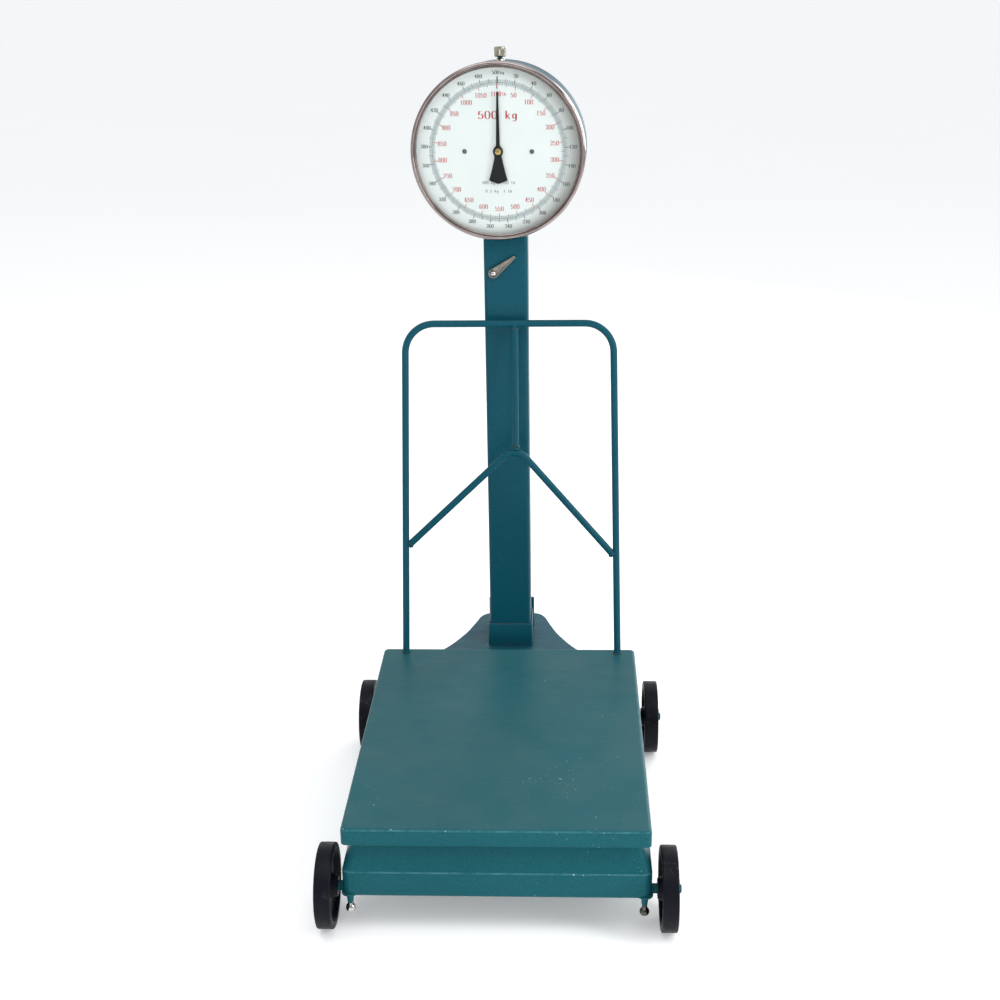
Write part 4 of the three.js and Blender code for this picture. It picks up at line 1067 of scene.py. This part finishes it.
def make_print():
    shape = Shape()
    flat_ring(shape, 106.4, 115.6, 0.05, GREY)
    flat_ring(shape, RING_INNER, RING_OUTER, 0.1, DARK)
    for kilos in range(0, 500, 2):
        reach, width = 115.6, 0.34
        if kilos % 20 == 0:
            reach, width = 119, 1.0
        elif kilos % 10 == 0:
            reach, width = 117.4, 0.7
        tick(shape, dial_degrees(kilos), RING_OUTER, reach, width, DARK)
    for pounds in range(5, 1101, 5):
        reach, width, ink = 106, 0.34, DARK
        if pounds % 50 == 0:
            reach, width, ink = 102, 0.95, RED
        elif pounds % 25 == 0:
            reach, width = 104, 0.65
        tick(shape, dial_degrees(pounds * POUND), reach, RING_INNER, width, ink)
    for side in (-1, 1):
        tick(shape, side * 0.45, 100, 121, 0.6, DARK)
    for kilos in range(20, 500, 20):
        write_round(shape, str(kilos), dial_degrees(kilos), KILO_FIGURES, 6.0, DARK, 0.6, 0.15)
    write(shape, "500", -2.5, 126.5, 6.0, DARK, 0.6, 0.15)
    write(shape, "kg", 8.5, 126.2, 4.6, DARK, 0.6, 0.15)
    for pounds in range(50, 1100, 50):
        write_round(shape, str(pounds), dial_degrees(pounds * POUND), POUND_FIGURES, 7.5, RED, 0.58)
    write(shape, "1100", -2.5, 92.5, 7.4, RED, 0.5)
    write(shape, "lb", 11.0, 92.2, 5.4, RED, 0.56)
    write(shape, "500 kg", 0, 59, 12.5, RED, 0.78, 0.15)
    write(shape, "500 kg  1100 lb", 0, -51, 4.6, DARK, 0.7)
    write(shape, "0.5 kg  1 lb", 0, -65, 4.6, DARK, 0.7)
    piece = shape.object("dial_print", [INK_DARK, INK_RED, INK_GREY], DIAL, "frame", 180)


def make_dial_screws():
    profile = [(0, -46.0), (1.4, -45.9), (2.6, -45.6), (3.5, -45.0), (4.0, -44.3), (2, -44.3),
               (2, -39.3), (0, -39.3)]
    for x, name in ((-56, "left"), (56, "right")):
        shape = Shape()
        shape.lathe(profile, 28, "Y", (x, 0, 0))
        for way in (-1, 1):
            z = sorted((way * 0.35, way * 1.25))
            shape.box((x - 2.9, x + 2.9), (-46.0, -45.4), z, 0.12)
        piece = shape.object("dial_screw_head_" + name, DARK_SCREW, DIAL, "frame", 40)
        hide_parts("dial_screw_" + name)


def make_pointer():
    front, back = -48.4, -47.0
    shape = Shape()
    # half of the blade, the hub and the forked tail, from the tip down
    right = [(0, 97.5), (1.5, 94), (2.0, 70), (2.5, 45), (2.9, 22), (3.1, 10), (5.4, 7.0), (7.6, 4.2),
             (8.5, 0.6), (8.1, -2.8), (6.6, -5.6), (5.9, -8.2), (6.6, -13), (9.4, -25), (12.6, -37),
             (15.6, -46.8), (11, -48.8), (6, -50.6)]
    left = [(-x, z) for x, z in reversed(right[1:])]
    outline = [Vector(p) for p in right + [(0, -53)] + left]

    def layer(y, shrink):
        ring = []
        for p in outline:
            x = math.copysign(max(abs(p.x) - shrink, 0), p.x)
            ring.append(Vector((x, y, p.y)))
        return ring

    shape.loft([layer(back, 0), layer(front + 0.35, 0), layer(front + 0.05, 0.35)])
    # a low spine along the blade and a folded edge along the tail's right side
    spine = [Vector((0, front + 0.1, z)) for z in (94, 60, 30, 12)]
    shape.tube(spine, 0.3, 8, radii=[0.15, 0.3, 0.42, 0.5])
    fold = [Vector((x, front + 0.12, z)) for x, z in ((6.2, -9), (9.3, -24), (14.6, -46))]
    shape.tube(fold, 0.4, 8, radii=[0.25, 0.38, 0.3])
    piece = shape.object("pointer_blade", POINTER_BLACK, DIAL, "pointer", 25)
    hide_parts("pointer")

    nut = Shape()
    profile = [(0, -50.4), (1.8, -50.36), (3.4, -50.15), (4.6, -49.8), (5.2, -49.4), (5.35, -49.05),
               (0, -49.0)]
    nut.lathe(profile, 32, "Y")
    piece = nut.object("pointer_dome_nut", BRASS, DIAL, "pointer", 40)
    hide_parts("pointer_nut")


def make_zero_knob():
    low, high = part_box("zero_knob")
    bottom, top = low.z / MM, high.z / MM
    knob = Shape()
    teeth = 36
    levels = [(bottom, 8.6, 0), (bottom + 0.5, 9.1, 0), (bottom + 1.2, 9.4, 0), (bottom + 2.0, 9.35, 0.55),
              (bottom + 5, 9.5, 0.55), (top - 4, 9.7, 0.55), (top - 2.6, 9.8, 0.5), (top - 1.6, 9.9, 0),
              (top - 0.6, 9.6, 0), (top, 8.6, 0), (top, 5.2, 0), (top - 0.5, 4.6, 0)]
    rings = []
    for z, radius, depth in levels:
        ring = []
        for i in range(teeth * 4):
            angle = 2 * math.pi * i / (teeth * 4)
            cut = depth * (0, 0.55, 1, 0.55)[i % 4]
            r = radius - cut + 0.35 * (1 if depth else 0)
            ring.append(Vector((r * math.cos(angle), r * math.sin(angle), z)))
        rings.append(ring)
    knob.loft(rings)
    matrix = HEAD @ Matrix.Translation((DIAL_X, 0, 0))
    piece = knob.object("zero_knob_knurled", NICKEL, matrix, "zero_knob", 38)
    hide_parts("zero_knob")

    screw_low, screw_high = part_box("zero_screw")
    foot, head = screw_low.z / MM, screw_high.z / MM
    neck = Shape()
    profile = [(0, foot), (2.4, foot), (2.8, foot + 0.6)]
    collar = head - 6
    count = int(collar - foot - 2)
    for i in range(count):
        profile += [(3.0, foot + 1 + i), (2.55, foot + 1.5 + i)]
    profile += [(3.0, collar), (6.6, collar), (7.0, collar + 0.4), (7.0, collar + 2.6), (6.4, collar + 3.3),
                (5.0, collar + 3.9), (4.6, collar + 4.8), (4.9, head), (0, head)]
    neck.lathe(profile, 36, "Z")
    piece = neck.object("zero_screw_collar", CHROME, matrix, "zero_knob", 35)
    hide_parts("zero_screw")


# ---- lock ----
def make_lock():
    low, high = box_mm("lock_screw")
    x, z = (low.x + high.x) / 2, (low.z + high.z) / 2
    turn = math.radians(37.6)
    matrix = BODY @ Matrix.Translation((x, 0, z)) @ Matrix.Rotation(-turn, 4, "Y")
    big, small, length = 8.5, 2.6, 44.0

    def outline(shrink, y):
        r0, r1 = max(big - shrink, 0.4), max(small - shrink, 0.35)
        lean = math.asin((r0 - r1) / length)
        points = []
        for i in range(25):
            angle = math.pi / 2 - lean + (math.pi + 2 * lean) * i / 24
            points.append(Vector((r0 * math.cos(angle), y, r0 * math.sin(angle))))
        for i in range(11):
            angle = -math.pi / 2 + lean + (math.pi - 2 * lean) * i / 10
            c, s = math.cos(angle), math.sin(angle)
            power = 0.62  # squarer than a circle
            c = math.copysign(abs(c) ** power, c)
            s = math.copysign(abs(s) ** power, s)
            points.append(Vector((min(length + r1 * c, length + small), y, r1 * s)))
        return points

    lever = Shape()
    lever.loft([outline(0.5, 382.4), outline(0, 382.0), outline(0, 379.4), outline(0.3, 378.75),
                outline(0.9, 378.4), outline(1.5, 378.45), outline(2.0, 378.9), outline(2.4, 379.7),
                outline(3.0, 379.9)])
    lever.lathe([(0, 379.1), (1.4, 379.15), (2.0, 379.4), (2.2, 379.9), (0, 379.9)], 20, "Y", (13.5, 0, 0))
    piece = lever.object("lock_lever_formed", LEVER_PLATE, matrix, "lock", 40)
    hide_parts("lock_lever")

    screw = Shape()
    profile = [(0, 374.7), (1.2, 374.78), (2.3, 375.1), (3.3, 375.7), (4.0, 376.5), (4.35, 377.3),
               (4.4, 378.1), (2.4, 378.1), (2.4, 379.9), (0, 379.9)]
    screw.lathe(profile, 32, "Y")
    piece = screw.object("lock_screw_dome", CHROME, matrix, "lock", 40)
    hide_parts("lock_screw")


# ---- springs ----
def make_springs():
    for side, name in ((-1, "left"), (1, "right")):
        low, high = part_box("spring_" + name)
        bottom, top = low.z / MM, high.z / MM - 2.1  # the hanger can be lowered by 2 mm
        x = DIAL_X + side * 46
        wire, coil, turns, steps = 1.1, 4.8, 34, 14
        path = []
        for i in range(turns * steps + 1):
            angle = 2 * math.pi * i / steps
            z = bottom + 7 + (top - bottom - 14) * i / (turns * steps)
            path.append(Vector((x + coil * math.cos(angle), coil * math.sin(angle), z)))
        hook = ((0, wire), (3.2, 2.6), (coil, 5))  # out from the spring's middle, and in from its end
        hook_low = [Vector((x + out, 0, bottom + rise)) for out, rise in hook]
        hook_high = [Vector((x + out, 0, top - drop)) for out, drop in reversed(hook)]
        shape = Shape()
        shape.tube(hook_low + path + hook_high, wire, 8)
        piece = shape.object("spring_coil_" + name, SPRING_STEEL, HEAD, None, 60)
        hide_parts("spring_" + name)
        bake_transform(piece)


make_deck()
make_base()
make_neck()
make_socket()
make_column()
make_rail()
make_axles()
make_wheels()
make_pins()
make_feet()
make_drum()
make_bezel()
make_glass()
make_dial_plate()
make_print()
make_dial_screws()
make_pointer()
make_zero_knob()
make_lock()
make_springs()

# ---- finishes of the CAD pieces that stay ----
KEPT = {
    "long_lever": LEVER_IRON, "short_lever": LEVER_IRON,
    "long_fulcrum_pivot": STEEL, "long_load_pivot": STEEL, "long_nose_pivot": STEEL,
    "short_fulcrum_pivot": STEEL, "short_load_pivot": STEEL, "transfer_link": STEEL,
    "pull_rod": STEEL, "crosshead": STEEL, "spring_hanger": STEEL, "lock_cam": STEEL,
    "pinion_arbor": BRASS, "rack": BRASS, "movement_frame": BRASS,
}
for corner, _, _ in CORNERS:
    KEPT["fulcrum_stand_" + corner] = LEVER_IRON
    KEPT["deck_bearing_" + corner] = STEEL
for node, material in KEPT.items():
    mesh = frame["nodes"][node].data
    mesh.materials.clear()
    mesh.materials.append(material)

# ---- floor, light and camera ----
floor_finish = Finish("studio_floor", (0.86, 0.86, 0.86), 0.8, level=0.1)
floor_cloud = floor_finish.cloud((0.7, 2), 0.3, 0.7)
floor_finish.colour(floor_finish.mix(floor_cloud, (0.9, 0.9, 0.9), (0.915, 0.915, 0.915)))
socket_value(floor_finish.shader, "Emission Color", (1, 1, 1, 1))
socket_value(floor_finish.shader, "Emission Strength", 0.2)
floor_mesh = bpy.data.meshes.new("studio_floor")
floor_mesh.from_pydata([(-90, -90, 0), (90, -90, 0), (90, 90, 0), (-90, 90, 0)], [], [(0, 1, 2, 3)])
floor_mesh.materials.append(floor_finish.material)
floor = bpy.data.objects.new("studio_floor", floor_mesh)
bpy.context.scene.collection.objects.link(floor)

world = bpy.data.worlds.new("studio")
world.use_nodes = True
sky = world.node_tree.nodes
directions = sky.new("ShaderNodeTexCoord")
parts = sky.new("ShaderNodeSeparateXYZ")
fade = sky.new("ShaderNodeMapRange")
for name, value in (("From Min", -0.9), ("From Max", 0.7), ("To Min", 0.5), ("To Max", 1.05)):
    socket_value(fade, name, value)
world.node_tree.links.new(directions.outputs["Generated"], parts.inputs[0])
world.node_tree.links.new(parts.outputs["Y"], fade.inputs["Value"])
world.node_tree.links.new(fade.outputs["Result"], sky["Background"].inputs["Strength"])
sky["Background"].inputs["Color"].default_value = (0.95, 0.975, 1.0, 1)
bpy.context.scene.world = world


def soft_box(name, place, target, size, power, mirrored=True):
    data = bpy.data.lights.new(name, "AREA")
    data.shape = "RECTANGLE"
    data.size, data.size_y = size
    data.energy = power
    light = bpy.data.objects.new(name, data)
    light.visible_camera = False
    light.visible_glossy = mirrored
    bpy.context.scene.collection.objects.link(light)
    light.location = place
    way = Vector(target) - Vector(place)
    light.rotation_euler = way.to_track_quat("-Z", "Y").to_euler()


soft_box("top", (-0.4, -0.9, 3.4), (0, 0, 0.3), (2.6, 2.6), 34)
soft_box("right", (2.6, -1.2, 1.9), (0, 0.1, 0.8), (0.9, 2.2), 58)
soft_box("back_right", (1.9, 2.9, 1.5), (0, 0.1, 0.4), (1.4, 1.8), 36)
soft_box("front", (-1.4, -3.4, 1.4), (0, 0, 0.5), (1.6, 1.6), 13, False)
soft_box("low_front", (-0.1, -1.9, 0.4), (0, -0.3, 0.1), (1.4, 0.5), 7, False)

# The camera looks down at the scale from its front.
YAW, PITCH, ROLL = math.radians(-2.53), math.radians(20.19), math.radians(-0.89)
CAMERA_PLACE = CENTRE + Vector((0.0986, -2.2063, 1.3884))
LENS_LENGTH = 55.394
right = Vector((math.cos(YAW), -math.sin(YAW), 0))
forward = Vector((math.sin(YAW), math.cos(YAW), 0)) * math.cos(PITCH) - Vector((0, 0, math.sin(PITCH)))
up = right.cross(forward)
right, up = right * math.cos(ROLL) + up * math.sin(ROLL), up * math.cos(ROLL) - right * math.sin(ROLL)
lens = bpy.data.cameras.new("camera")
lens.sensor_width = 36
lens.lens = LENS_LENGTH
camera = bpy.data.objects.new("camera", lens)
bpy.context.scene.collection.objects.link(camera)
turned = Matrix((right, up, -forward)).transposed().to_4x4()
camera.matrix_world = Matrix.Translation(CAMERA_PLACE) @ turned
bpy.context.scene.camera = camera
bpy.context.scene.view_settings.view_transform = "Standard"
